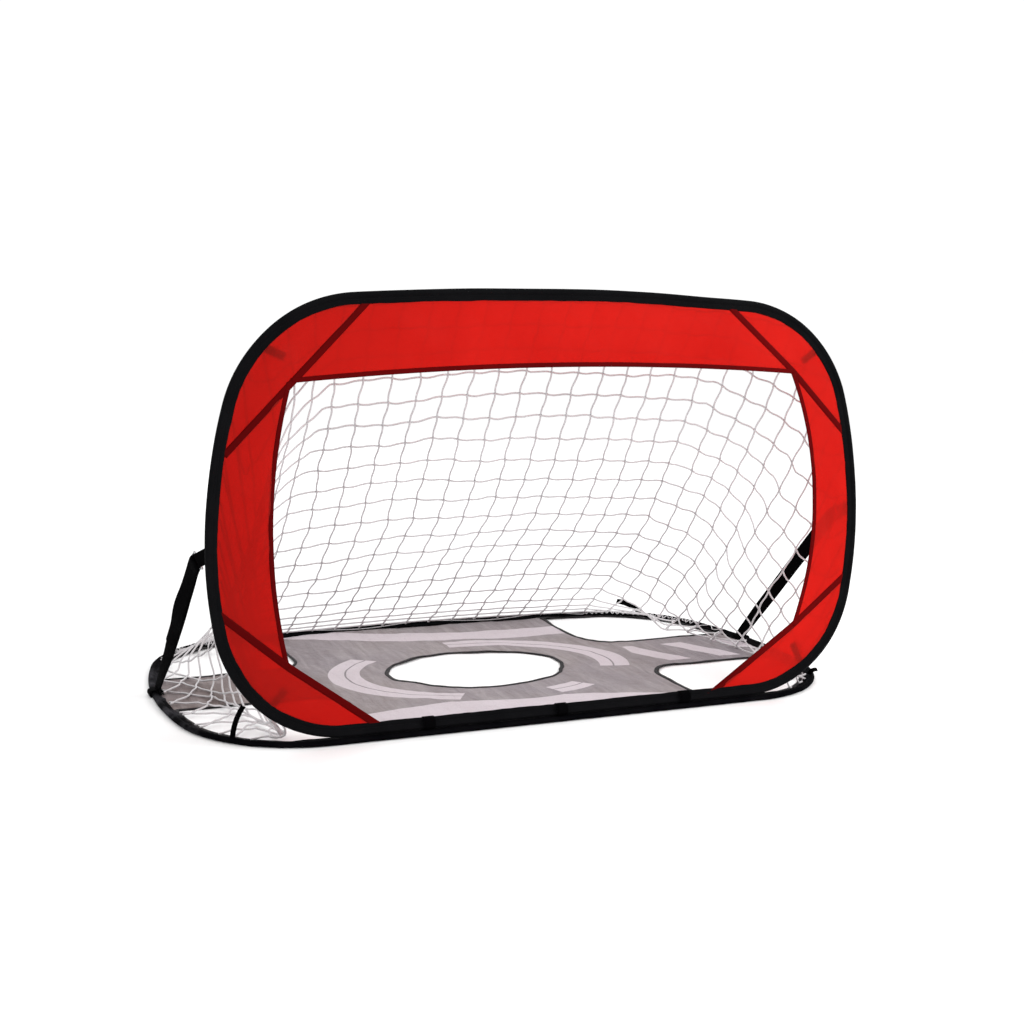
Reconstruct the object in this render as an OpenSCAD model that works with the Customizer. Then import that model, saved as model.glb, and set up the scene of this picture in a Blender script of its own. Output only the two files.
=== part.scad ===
// Pop-up goal: two spring-wire hoops in fabric sleeves, joined along their
// lower front edge, with a target sheet in the ground hoop, coloured panels
// round the mouth of the front hoop, a net behind and a strap on each side.

/* [Front hoop] */
// Half of the front hoop's overall width
front_half_w = 600; // [560:5:640]
// Height of the front hoop, sleeve edge to sleeve edge
front_h = 717; // [690:1:745]
// Backward lean of the front hoop from upright
lean = 3.25; // [0:0.25:6]

/* [Ground hoop] */
// Half of the ground hoop's overall width
ground_half_w = 625; // [605:5:660]
// Depth of the ground hoop, sleeve edge to sleeve edge
ground_d = 735; // [710:1:760]

/* [Sleeve and wire] */
// Width of the fabric sleeve in the plane of its hoop
sleeve_w = 20; // [18:1:24]
// Thickness of the fabric sleeve across its hoop
sleeve_t = 10; // [9:0.5:12]
// Diameter of the spring-steel wire
wire_d = 4; // [3:0.5:5]

/* [Fabric] */
// Thickness of the panel cloth and of the target sheet
cloth_t = 1.2; // [0.8:0.1:1.5]
// Width of the tapes on the diagonal seams
tape_w = 15; // [10:1:18]
// Width of the binding round the mouth
bind_w = 11; // [8:1:14]
// Width of the oval target hole
hole_w = 350; // [300:5:380]
// Depth of the oval target hole
hole_d = 236; // [200:4:250]

/* [Straps] */
// Width of the side strap webbing
strap_w = 25; // [20:1:28]
// Height of the left strap ring above the ground
ring_h = 304; // [290:1:320]

/* [Hidden] */
$fn = 96;

gap = 0.3;
seat = sleeve_t + gap;                 // underside of the front hoop
hinge_z = seat + sleeve_w / 2;         // fold axis: centre of the front hoop's bottom run
mid_y = ground_d / 2 - sleeve_w / 2;   // middle of the ground hoop, from the fold axis
wire_in = 6;                           // the wire sits this far inside the outer edge
black = "#17171a"; red = "#d8201e"; darkred = "#7c1012"; grey = "#a39b9b"; steel = "#b9bcc0";

// ---- hoop outline: one straight run and seven tangent arcs ----
r_low = 215; r_up = 236;
a_low = 80; a_side = 26; a_up = 70; a_top = 180 - a_low - a_side - a_up;
h1 = a_low; h2 = a_low + a_side; h3 = h2 + a_up;
// side and top radii that close the outline at half width w and height h
function k_side() = cos(h1) - cos(h2);
function k_top() = 1 + cos(h3);
function rest_h(h) = h - r_low * (1 - cos(h1)) - r_up * (cos(h2) - cos(h3));
function rest_w(w) = w + r_up * (sin(h3) - sin(h2));
function r_side(w, h) = (rest_h(h) * sin(h3) - k_top() * rest_w(w)) / (k_side() * sin(h3) - k_top() * (1 - sin(h2)));
function r_top(w, h) = (rest_h(h) - r_side(w, h) * k_side()) / k_top();
function run(w, h) = w - r_low * sin(h1) - r_side(w, h) * (1 - sin(h1));
// arcs of the right half: [centre x, centre y, radius, heading in, heading out]
function step(p, r, a, b) = [p[0] + r * (sin(b) - sin(a)), p[1] + r * (cos(a) - cos(b))];
function ctr(p, r, a) = [p[0] - r * sin(a), p[1] + r * cos(a)];
function arcs(w, h) =
    let (rs = r_side(w, h), rt = r_top(w, h), p0 = [run(w, h), 0],
         p1 = step(p0, r_low, 0, h1), p2 = step(p1, rs, h1, h2), p3 = step(p2, r_up, h2, h3),
         c0 = ctr(p0, r_low, 0), c1 = ctr(p1, rs, h1), c2 = ctr(p2, r_up, h2), c3 = ctr(p3, rt, h3))
    [[c0[0], c0[1], r_low, 0, h1], [c1[0], c1[1], rs, h1, h2], [c2[0], c2[1], r_up, h2, h3], [0, c3[1], rt, h3, 180]];
// point of the outline at a heading from 0 to 180, set in from the outer edge
function at(w, h, i, g) =
    let (k = g < h1 ? 0 : g < h2 ? 1 : g < h3 ? 2 : 3, a = arcs(w, h)[k])
    [a[0] + (a[2] - i) * sin(g), a[1] - (a[2] - i) * cos(g)];
function half(w, h, i) = [for (g = stations) at(w, h, i, g)];
module region(w, h, i) {
    p = half(w, h, i);
    polygon(concat(p, [for (k = [len(p) - 2:-1:0]) [-p[k][0], p[k][1]]]));
}
// headings of the stations round the right half of a hoop
stations = [for (k = [0:3]) let (b = [0, h1, h2, h3, 180], n = [14, 7, 12, 3][k]) for (j = [(k == 0 ? 0 : 1):n]) b[k] + (b[k + 1] - b[k]) * j / n];
// closed sweep of a section [outward, up] round the outline, i in from its outer edge
module hoop(w, h, i, sec) {
    n = len(stations); m = 2 * n - 1; q = len(sec);
    pts = [for (k = [0:m - 1], c = sec) let (r = k < n, g = r ? stations[k] : stations[2 * n - 2 - k], p = at(w, h, i - c[0], g)) [r ? p[0] : -p[0], p[1], c[1]]];
    polyhedron(points = pts, faces = [for (k = [0:m - 1], j = [0:q - 1]) let (a = (k + 1) % m, b = (j + 1) % q) [k * q + j, k * q + b, a * q + b, a * q + j]], convexity = 8);
}
function disc(d, n) = [for (k = [0:n - 1]) d / 2 * [cos(360 * (k + 0.5) / n), sin(360 * (k + 0.5) / n)]];
// flattened eight-sided sleeve section, and its channel for the wire
function sleeve_section() = let (a = sleeve_w / 2, b = sleeve_t / 2, c = b * 0.6, d = b * 0.4)
    [[a, -d], [a, d], [a - c, b], [c - a, b], [-a, d], [-a, -d], [c - a, -b], [a - c, -b]];
module sleeve(w, h) difference() {
    hoop(w, h, sleeve_w / 2, sleeve_section());
    hoop(w, h, wire_in, disc(wire_d + 3 * gap, 8));
    run_hole(w, h);
}
// ferrule bore through the straight run
ferrule_l = 40; ferrule_d = wire_d + 2.4;
module run_hole(w, h) translate([-ferrule_l / 2 - 1, wire_in, 0]) rotate([0, 90, 0]) cylinder(d = ferrule_d + 2 * gap, h = ferrule_l + 2);
module ferrule() translate([-ferrule_l / 2, wire_in, 0]) rotate([0, 90, 0])
    difference() {
        cylinder(d = ferrule_d, h = ferrule_l);
        translate([0, 0, -1]) cylinder(d = wire_d + 0.1, h = ferrule_l + 2);
    }

// ---- frames of the two hoops ----
module ground() translate([0, -mid_y - sleeve_w / 2, 0]) children();
module on_ground() translate([0, -mid_y, 0]) children();
// front plane: x across, y up along the hoop from the ground, +z to the front
module front() on_ground() translate([0, 0, hinge_z]) rotate([-lean, 0, 0]) translate([0, 0, -hinge_z]) rotate([90, 0, 0]) children();
module side(s) mirror([s < 0 ? 1 : 0, 0, 0]) children();

// ---- ground hoop ----
module ground_wire() color(steel) ground() translate([0, 0, sleeve_t / 2]) hoop(ground_half_w, ground_d, wire_in, disc(wire_d, 8));
module ground_wire_ferrule() color(steel) ground() translate([0, 0, sleeve_t / 2]) ferrule();
module ground_sleeve() color(black) ground() translate([0, 0, sleeve_t / 2]) sleeve(ground_half_w, ground_d);

// ---- target sheet with one oval and four corner holes ----
hole_y = 350;            // centre of the sheet, from the fold axis
bind_h = 8;              // width of the bindings round the holes
corner_in = 299;         // inner edge of the corner holes, from the middle
side_f = 257; side_b = 457;  // edges of the side strip, from the fold axis
corner_r = 60;
module oval(g) translate([0, hole_y]) scale_oval(hole_w / 2 + g, hole_d / 2 + g);
module scale_oval(a, b) polygon([for (k = [0:5:355]) [a * cos(k), b * sin(k)]]);
// rounded inner corner of a corner hole, arm lengths open towards the hoop
module corner_hole(g, back) {
    c = back ? side_b : side_f;
    s = back ? 1 : -1;
    intersection() {
        translate([0, -sleeve_w / 2]) region(ground_half_w, ground_d, 30 - g);
        union() {
            translate([corner_in - g + corner_r, c + s * -g + (back ? 0 : -400)]) square([400, 400]);
            translate([corner_in - g, back ? c + corner_r - g : c - 460 + g]) square([400, 400]);
            translate([corner_in - g + corner_r, c + s * (corner_r - g)]) circle(r = corner_r);
        }
    }
}
module target_sheet() color(grey) on_ground() linear_extrude(cloth_t) difference() {
    translate([0, -sleeve_w / 2]) region(ground_half_w, ground_d, 18.7);
    oval(bind_h);
    for (s = [-1, 1], b = [false, true]) scale([s, 1]) corner_hole(bind_h, b);
}
module center_hole_binding() color(black) on_ground() linear_extrude(2 * cloth_t) difference() { oval(bind_h); oval(0); }
module hole_binding(s, b) color(black) on_ground() side(s) linear_extrude(2 * cloth_t) difference() { corner_hole(bind_h, b); corner_hole(0, b); }
module hole_binding_fl() hole_binding(-1, false);
module hole_binding_fr() hole_binding(1, false);
module hole_binding_bl() hole_binding(-1, true);
module hole_binding_br() hole_binding(1, true);

// ---- narrow ties for the folded pack, sewn to the sleeves ----
tie_w = 14; tie_t = 1.6;
module ground_tie(x, y, turn, tilt, l) color(black) on_ground() translate([x, y, sleeve_t + 1.5]) rotate([0, 0, turn]) rotate([tilt, 0, 0])
    translate([-tie_w / 2, -tie_t / 2, 1.2]) cube([tie_w, tie_t, l]);
module ground_tie_fl() ground_tie(-549, 59, 60, 19.5, 52);
module ground_tie_fr() ground_tie(572, 92, 20, 60, 30);
module ground_tie_bl() ground_tie(-500, 640, -125, -84, 50);
module ground_tie_br() ground_tie(509, 652.6, -137.8, 72, 60);

// ---- webbing loops that hold the front hoop on the ground hoop ----
module hinge_loop(x) color(black) on_ground() translate([x - 11, 0, 0]) rotate([90, 0, 90]) linear_extrude(22) difference() {
    union() {
        translate([0, hinge_z]) circle(r = sleeve_w / 2 + 1.3, $fn = 64);
        translate([-7, sleeve_t + 0.02]) square([14, 4]);
    }
    translate([0, hinge_z]) circle(r = sleeve_w / 2 + gap, $fn = 64);
    translate([-20, sleeve_t - 20]) square([40, 20.02]);
}
module hinge_loop_left() hinge_loop(-240);
module hinge_loop_mid() hinge_loop(0);
module hinge_loop_right() hinge_loop(240);

// ---- net: one thin skin from the back of the front hoop to the ground hoop ----
net_n = 44; net_m = 8; net_t = 1; net_sag = 34; net_side = 60;
function front3(p, n) = let (z = p[1] - hinge_z) [p[0], z * sin(lean) - n * cos(lean), hinge_z + z * cos(lean) + n * sin(lean)];
function net_head(k) = 24 + 312 * k / net_n;
function mir(p, m) = m ? [-p[0], p[1]] : p;
function net_pt(k, j, o) =
    let (g = net_head(k), m = g > 180, q = m ? 360 - g : g, s = j / net_m,
         f = front3(mir(at(front_half_w, front_h, 14 + 16 * pow(sin(q), 4), q) + [0, seat], m), -sleeve_t / 2 - 0.4 - net_t / 2),
         b0 = mir(at(ground_half_w, ground_d, 14 + 10 * pow(sin(q), 4), q), m), b = [b0[0], b0[1] - sleeve_w / 2, sleeve_t + 0.2 + net_t / 2],
         nn = [sin(g), -cos(g), -cos(g)], u = nn / norm(nn),
         d = o * net_t / 2 - 4 * s * (1 - s) * (net_sag * pow((1 - cos(g)) / 2, 2) + net_side * pow(sin(g), 4)))
    f + (b - f) * s + u * d;
module net() color("#d9dad6") on_ground() {
    a = net_n + 1; b = net_m + 1; h = a * b;
    pts = [for (o = [-1, 1], k = [0:net_n], j = [0:net_m]) net_pt(k, j, o)];
    faces = concat(
        [for (k = [0:net_n - 1], j = [0:net_m - 1]) each [[k * b + j, (k + 1) * b + j, (k + 1) * b + j + 1], [k * b + j, (k + 1) * b + j + 1, k * b + j + 1]]],
        [for (k = [0:net_n - 1], j = [0:net_m - 1]) each [[h + k * b + j, h + (k + 1) * b + j + 1, h + (k + 1) * b + j], [h + k * b + j, h + k * b + j + 1, h + (k + 1) * b + j + 1]]],
        [for (k = [0:net_n - 1]) each [[k * b, h + k * b, h + (k + 1) * b], [k * b, h + (k + 1) * b, (k + 1) * b]]],
        [for (k = [0:net_n - 1]) let (e = net_m) each [[k * b + e, (k + 1) * b + e, h + (k + 1) * b + e], [k * b + e, h + (k + 1) * b + e, h + k * b + e]]],
        [for (j = [0:net_m - 1]) each [[j, j + 1, h + j + 1], [j, h + j + 1, h + j]]],
        [for (j = [0:net_m - 1]) let (e = net_n * b) each [[e + j, h + e + j + 1, e + j + 1], [e + j, h + e + j, h + e + j + 1]]]);
    polyhedron(points = pts, faces = [for (f = faces) [f[0], f[2], f[1]]], convexity = 6);
}

// ---- strap rings, tabs and side straps; each side has its own lie ----
function unit(v) = v / norm(v);
function across(v, a) = unit(v - (v * a) * a);
module axes(x, y, z) multmatrix([[x[0], y[0], z[0], 0], [x[1], y[1], z[1], 0], [x[2], y[2], z[2], 0], [0, 0, 0, 1]]) children();
ring_wire = 3; ring_in = 26; ring_n = -27;
ring_r = ring_in / 2 + ring_wire / 2;
ring_bar = unit([0.36, -0.3, -0.88]);                                  // along the ring's straight bar
function ring_c(s) = front3(s < 0 ? [-604, ring_h] : [582, ring_h + 30], ring_n);
function root(s) = front3(s < 0 ? [-594, ring_h + 10] : [590, ring_h + 37], -sleeve_t / 2);
function foot(s) = s < 0 ? [-612.5, 365, sleeve_t + 0.4] : [612.5, 400, sleeve_t + 0.4];
function bow_u(s) = across(foot(s) - ring_c(s), ring_bar);             // from the bar to the bow
function tongue(s) = across(root(s) - ring_c(s), ring_bar);            // from the bar to the sleeve
module d_ring(s) color(steel) on_ground() translate(ring_c(s)) axes(ring_bar, bow_u(s), cross(ring_bar, bow_u(s))) {
    rotate([0, 90, 0]) cylinder(d = ring_wire, h = 2 * ring_r, center = true);
    rotate_extrude(angle = 180) translate([ring_r, 0]) circle(d = ring_wire, $fn = 24);
    for (e = [-1, 1]) translate([e * ring_r, 0, 0]) sphere(d = ring_wire, $fn = 24);
}
module d_ring_left() d_ring(-1);
module d_ring_right() d_ring(1);
// webbing folded round the ring's bar and sewn to the back of the sleeve
module ring_tab(s) color(black) difference() {
    on_ground() translate(ring_c(s)) axes(ring_bar, tongue(s), cross(ring_bar, tongue(s))) difference() {
        union() {
            rotate([0, 90, 0]) cylinder(r = ring_wire / 2 + 1.7, h = 21, center = true, $fn = 48);
            translate([-10.5, 0, -1.4]) cube([21, 45, 2.8]);
        }
        rotate([0, 90, 0]) cylinder(r = ring_wire / 2 + gap, h = 30, center = true, $fn = 48);
    }
    front() translate([-1000, 0, -sleeve_t / 2 - 0.05]) cube([2000, 1000, 100]);
}
module ring_tab_left() ring_tab(-1);
module ring_tab_right() ring_tab(1);
// a strap runs straight from the ring's bow to the ground sleeve and twists on the way
strap_t = 1.6;
function top(s) = ring_c(s) + bow_u(s) * (ring_r + ring_wire / 2 + 1.4);
function twist(s, f, a) = lookup(f, s < 0 ? [[0, a], [0.12, 42], [0.3, 28], [0.55, 32], [0.7, 66], [0.85, 82], [1, 90]]
                                         : [[0, a], [0.2, 54], [0.6, 58], [0.85, 78], [1, 90]]);
// half width vector at a fraction of the run, slanted at the ends to follow the bar and the ground
function half_width(s, f, w) = let (u = unit(foot(s) - top(s)), x = across([1, 0, 0], u), v = cross(u, x), b = ring_bar * u,
         t = twist(s, f, atan2(ring_bar * v, ring_bar * x)))
    w * (cos(t) * x + sin(t) * v + u * lookup(f, [[0, b / sqrt(1 - b * b)], [0.12, 0], [0.88, 0], [1, -v[2] / u[2]]]));
// strip of webbing over the first n of 30 stations; off lifts it off the middle of the main run
module webbing(s, n, off) color(black) on_ground() {
    q = foot(s) - top(s);
    pts = [for (k = [0:n]) let (f = k / 30, h = half_width(s, f, strap_w / 2), t = unit(cross(q, h)))
        for (c = [[-1, -1], [1, -1], [1, 1], [-1, 1]]) top(s) + q * f + h * c[0] + t * (off + c[1] * strap_t / 2)];
    polyhedron(points = pts, faces = concat([[0, 1, 2, 3], [4 * n + 3, 4 * n + 2, 4 * n + 1, 4 * n]],
        [for (k = [0:n - 1], j = [0:3]) let (a = 4 * k + j, b = 4 * k + (j + 1) % 4)
            each j == 2 ? [[a, a + 4, b], [b, a + 4, b + 4]] : [[a, a + 4, b + 4], [a, b + 4, b]]]), convexity = 4);
}
module strap_left() webbing(-1, 30, 0);
module strap_right() webbing(1, 30, 0);
// doubled end of the strap, back from the ring and sewn down
module strap_tail_left() webbing(-1, 18, strap_t + 0.3);
module strap_tail_right() webbing(1, 18, -strap_t - 0.3);

// ---- front hoop ----
module front_wire() color(steel) front() translate([0, seat, 0]) hoop(front_half_w, front_h, wire_in, disc(wire_d, 8));
module front_wire_ferrule() color(steel) front() translate([0, seat, 0]) ferrule();
module front_sleeve() color(black) front() translate([0, seat, 0]) sleeve(front_half_w, front_h);

// ---- mouth of the front hoop ----
m_top = [460, 582]; m_bot = [470, 130]; m_foot = [308, 20];   // corners of the mouth
d_top = [335, 698]; d_side = [566, 474];                      // ends of the upper diagonal seam
d_low = [577, 217];                                           // outer end of the lower one
bow_side = 32; bow_top = 20;
function bow(p, q, s, n) = [for (k = [0:n]) let (t = k / n, d = q - p, u = [d[1], -d[0]] / norm(d)) p + d * t + u * (s * 4 * t * (1 - t))];
module mouth(g) {
    r = bow(m_bot + [g, 0], m_top + [g, g], bow_side, 16);
    t = bow(m_top + [g, g], [-m_top[0] - g, m_top[1] + g], bow_top, 16);
    polygon(concat([[-m_foot[0], m_foot[1]], m_foot], r, t, [for (k = [16:-1:0]) [-r[k][0], r[k][1]]]));
}
module band(p, q, w) {
    u = (q - p) / norm(q - p); v = [-u[1], u[0]] * w / 2; e = u * 60;
    polygon([p - e + v, p - e - v, q + e - v, q + e + v]);
}
module cloth_region() translate([0, seat]) region(front_half_w, front_h, sleeve_w + 0.1);
module tape_up(w) band(d_top, d_side, w);
module tape_low(w) {
    u = (m_bot - d_low) / norm(m_bot - d_low); v = [-u[1], u[0]] * w / 2;
    t = (m_foot - m_bot) / norm(m_foot - m_bot); r = [-t[1], t[0]] * w / 2;
    m = (v + r) / 2;
    polygon([d_low - u * 60 + v, d_low - u * 60 - v, m_bot - m, m_foot + t * 60 - r, m_foot + t * 60 + r, m_bot + m]);
}
module beyond_up() { u = (d_side - d_top) / norm(d_side - d_top); v = [-u[1], u[0]]; polygon([d_top - u * 300, d_side + u * 300, d_side + u * 300 + v * 400, d_top - u * 300 + v * 400]); }
module beyond_low() polygon([d_low + (d_low - m_bot) * 3, m_bot, m_foot + (m_foot - m_bot) * 3, [900, -300], [900, 300]]);
module cloth(t) linear_extrude(t, center = true) children();
module panel_top() color(red) front() cloth(cloth_t) difference() {
    cloth_region();
    mouth(bind_w);
    for (s = [1, -1]) scale([s, 1]) { beyond_up(); tape_up(tape_w); }
    translate([-700, -100]) square([1400, 650]);
}
module panel_side(s) color(red) front() side(s) cloth(cloth_t) difference() {
    intersection() { cloth_region(); translate([200, 0]) square([600, 620]); }
    mouth(bind_w);
    beyond_up(); tape_up(tape_w);
    beyond_low(); tape_low(tape_w);
    translate([0, 582 + bind_w]) square([460, 200]);
}
module panel_left() panel_side(-1);
module panel_right() panel_side(1);
module corner_up(s) color(red) front() side(s) cloth(cloth_t) difference() {
    intersection() { cloth_region(); beyond_up(); }
    tape_up(tape_w);
}
module corner_low(s) color(red) front() side(s) cloth(cloth_t) difference() {
    intersection() { cloth_region(); beyond_low(); translate([100, 0]) square([600, 400]); }
    tape_low(tape_w);
}
module corner_panel_tl() corner_up(-1);
module corner_panel_tr() corner_up(1);
module corner_panel_bl() corner_low(-1);
module corner_panel_br() corner_low(1);
module seam_up(s) color(darkred) front() side(s) cloth(2.4) intersection() { cloth_region(); tape_up(tape_w); }
module seam_low(s) color(darkred) front() side(s) cloth(2.4) intersection() { cloth_region(); tape_low(tape_w); translate([100, 0]) square([600, 400]); }
module seam_tape_tl() seam_up(-1);
module seam_tape_tr() seam_up(1);
module seam_tape_bl() seam_low(-1);
module seam_tape_br() seam_low(1);
module mouth_binding_top() color(darkred) front() cloth(2) difference() {
    intersection() { mouth(bind_w); translate([-600, 560]) square([1200, 200]); }
    mouth(0);
    for (s = [1, -1]) scale([s, 1]) { beyond_up(); tape_up(tape_w); translate([460, 500]) square([100, 200]); }
}
module mouth_binding(s) color(darkred) front() side(s) cloth(2) difference() {
    intersection() { mouth(bind_w); translate([400, 100]) square([300, 482]); }
    mouth(0);
    beyond_up(); tape_up(tape_w);
    beyond_low(); tape_low(tape_w);
}
module mouth_binding_left() mouth_binding(-1);
module mouth_binding_right() mouth_binding(1);
// ties behind the corner panels, pointing in from the sleeve at a heading of the outline
module front_tie(s, g, turn, l) color(black) front() side(s) translate([0, seat, -1.6])
    translate(at(front_half_w, front_h, sleeve_w + 0.7 + tie_w / 2 * sin(abs(turn)), g)) rotate([0, 0, g + turn]) translate([-tie_w / 2, 0, -tie_t]) cube([tie_w, l, tie_t]);
module front_tie_tl() front_tie(-1, 133, -19, 30);
module front_tie_tr() front_tie(1, 133, -10, 30);
module front_tie_bl() front_tie(-1, 39, 4, 30);
module front_tie_br() front_tie(1, 34, -8, 38);

ground_wire();
ground_wire_ferrule();
ground_sleeve();
target_sheet();
center_hole_binding();
hole_binding_fl();
hole_binding_fr();
hole_binding_bl();
hole_binding_br();
ground_tie_fl();
ground_tie_fr();
ground_tie_bl();
ground_tie_br();
hinge_loop_left();
hinge_loop_mid();
hinge_loop_right();
net();
strap_left();
strap_right();
strap_tail_left();
strap_tail_right();
front_wire();
front_wire_ferrule();
front_sleeve();
panel_top();
panel_left();
panel_right();
corner_panel_tl();
corner_panel_tr();
corner_panel_bl();
corner_panel_br();
seam_tape_tl();
seam_tape_tr();
seam_tape_bl();
seam_tape_br();
mouth_binding_top();
mouth_binding_left();
mouth_binding_right();
front_tie_tl();
front_tie_tr();
front_tie_bl();
front_tie_br();
ring_tab_left();
ring_tab_right();
d_ring_left();
d_ring_right();
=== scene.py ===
import math
import bpy
import numpy as np
from mathutils import Matrix, Vector, noise
from mathutils.geometry import delaunay_2d_cdt


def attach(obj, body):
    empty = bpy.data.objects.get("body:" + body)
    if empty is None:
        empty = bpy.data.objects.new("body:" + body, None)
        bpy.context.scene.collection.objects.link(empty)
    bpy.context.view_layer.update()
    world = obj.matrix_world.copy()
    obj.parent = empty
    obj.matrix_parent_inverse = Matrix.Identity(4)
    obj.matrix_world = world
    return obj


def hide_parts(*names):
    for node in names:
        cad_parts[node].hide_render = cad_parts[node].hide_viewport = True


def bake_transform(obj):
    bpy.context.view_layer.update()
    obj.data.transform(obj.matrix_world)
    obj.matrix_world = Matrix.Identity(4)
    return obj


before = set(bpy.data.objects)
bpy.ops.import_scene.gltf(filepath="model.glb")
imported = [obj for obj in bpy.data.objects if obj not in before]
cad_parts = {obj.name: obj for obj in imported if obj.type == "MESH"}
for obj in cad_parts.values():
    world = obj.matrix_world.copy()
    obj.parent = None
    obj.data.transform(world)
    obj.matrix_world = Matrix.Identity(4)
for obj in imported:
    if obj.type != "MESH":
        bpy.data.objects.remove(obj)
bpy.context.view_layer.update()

rng = np.random.default_rng(20)
sin, cos, pi = math.sin, math.cos, math.pi

# ------------------------------------------------------------------ geometry
SW, ST = 0.020, 0.010            # sleeve width and thickness
SEAT = ST + 0.0003               # underside of the front hoop
HZ = SEAT + SW / 2               # height of the fold axis
HY = -0.3575                     # the fold axis lies at this y
LEAN = math.radians(3.25)
WF, HF, WG, DG = 0.600, 0.717, 0.625, 0.735
R_LOW, R_UP = 0.215, 0.236
H1, H2, H3 = map(math.radians, (80.0, 106.0, 176.0))


def arcs(w, h):
    ks, kt = cos(H1) - cos(H2), 1 + cos(H3)
    rh = h - R_LOW * (1 - cos(H1)) - R_UP * (cos(H2) - cos(H3))
    rw = w + R_UP * (sin(H3) - sin(H2))
    rs = (rh * sin(H3) - kt * rw) / (ks * sin(H3) - kt * (1 - sin(H2)))
    rt = (rh - rs * ks) / kt
    run = w - R_LOW * sin(H1) - rs * (1 - sin(H1))
    out, p = [], np.array([run, 0.0])
    for r, a, b in ((R_LOW, 0, H1), (rs, H1, H2), (R_UP, H2, H3)):
        out.append((p[0] - r * sin(a), p[1] + r * cos(a), r, a, b))
        p = p + r * np.array([sin(b) - sin(a), cos(a) - cos(b)])
    out.append((0.0, p[1] + rt * cos(H3), rt, H3, pi))
    return out, run


def at(w, h, i, g):
    """Point of the outline's right half at heading g (radians), i inside its outer edge."""
    a = arcs(w, h)[0]
    for c in a:
        if g <= c[4] + 1e-12:
            break
    return np.array([c[0] + (c[2] - i) * sin(g), c[1] - (c[2] - i) * cos(g)])


def loop(w, h, n):
    """n stations evenly along the whole outline: x, y, outward normal, arc length. It starts at the middle of the straight run and goes to the right."""
    a, run = arcs(w, h)
    pts = [(x, 0.0, 0.0) for x in np.linspace(0, run, 40)]
    for c in a:
        for g in np.linspace(c[3], c[4], 160)[1:]:
            pts.append((c[0] + c[2] * sin(g), c[1] - c[2] * cos(g), g))
    pts = np.array(pts)
    left = pts[::-1][1:].copy()
    left[:, 0] *= -1
    left[:, 2] = 2 * pi - left[:, 2]
    full = np.vstack([pts, left])
    s = np.concatenate([[0], np.cumsum(np.hypot(*np.diff(full[:, :2], axis=0).T))])
    t = np.arange(n) * s[-1] / n
    x, y, g = (np.interp(t, s, full[:, k]) for k in range(3))
    return x, y, np.sin(g), -np.cos(g), t, s[-1], g


def front3(x, h, n=0.0):
    """Front hoop's plane to the row frame: x across, h up from the ground along the plane, n towards the front."""
    z = h - HZ
    return np.stack([x + 0 * z + 0 * n, HY + z * sin(LEAN) - n * cos(LEAN) + 0 * x, HZ + z * cos(LEAN) + n * sin(LEAN) + 0 * x], -1)


def wob(x, y=0.0, z=0.0):
    return noise.noise(Vector((x, y, z)))


def wobs(x, y, z):
    return np.array([noise.noise(Vector((float(a), float(b), float(c)))) for a, b, c in zip(np.ravel(x), np.ravel(y), np.ravel(z))]).reshape(np.shape(x))


def mesh(name, verts, faces, uvs=None, smooth=True, mats=()):
    """A mesh object; uvs is one (u, v) per vertex, in metres."""
    me = bpy.data.meshes.new(name)
    me.from_pydata([tuple(map(float, v)) for v in verts], [], [tuple(map(int, f)) for f in faces])
    me.validate()
    if uvs is not None:
        layer = me.uv_layers.new(name="UVMap")
        idx = np.zeros(len(me.loops), np.int32)
        me.loops.foreach_get("vertex_index", idx)
        layer.data.foreach_set("uv", np.asarray(uvs, float)[idx].astype(np.float32).ravel())
    if smooth:
        me.polygons.foreach_set("use_smooth", np.ones(len(me.polygons), bool))
    ob = bpy.data.objects.new(name, me)
    bpy.context.scene.collection.objects.link(ob)
    for m in mats:
        me.materials.append(m)
    me.update()
    return ob


def grid_faces(n, m, close_n=False, close_m=False):
    """Quads of an n by m grid of points."""
    a = np.arange(n if close_n else n - 1)[:, None]
    b = np.arange(m if close_m else m - 1)[None, :]
    a2, b2 = (a + 1) % n, (b + 1) % m
    return np.stack([a * m + b, a2 * m + b, a2 * m + b2, a * m + b2], -1).reshape(-1, 4)


def normals(v, f):
    v, nn = np.asarray(v, float), np.zeros((len(v), 3))
    for k in range(2, f.shape[1]):
        c = np.cross(v[f[:, k - 1]] - v[f[:, 0]], v[f[:, k]] - v[f[:, 0]])
        for j in (0, k - 1, k):
            np.add.at(nn, f[:, j], c)
    return nn / np.maximum(np.linalg.norm(nn, axis=1), 1e-12)[:, None]


def skin(name, v, f, t, uv, mats):
    """A closed thin cloth of thickness t round the surface of quads or triangles f."""
    v, f, uv = np.asarray(v, float), np.asarray(f), np.asarray(uv, float)
    nn, n = normals(v, f), len(v)
    edges = {}
    for q in f:
        for j in range(len(q)):
            a, b = int(q[j]), int(q[(j + 1) % len(q)])
            if (b, a) in edges:
                edges[(b, a)] = 2
            else:
                edges[(a, b)] = 1
    rim = [(a + 0, a + n, b + n, b + 0)[::1] for (a, b), k in edges.items() if k == 1]
    faces = [tuple(q) for q in f] + [tuple(int(c) + n for c in q[::-1]) for q in f] + [(b, a, a + n, b + n) for (a, b), k in edges.items() if k == 1]
    return mesh(name, np.vstack([v + nn * t / 2, v - nn * t / 2]), faces, np.vstack([uv, uv]), True, mats)


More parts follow.
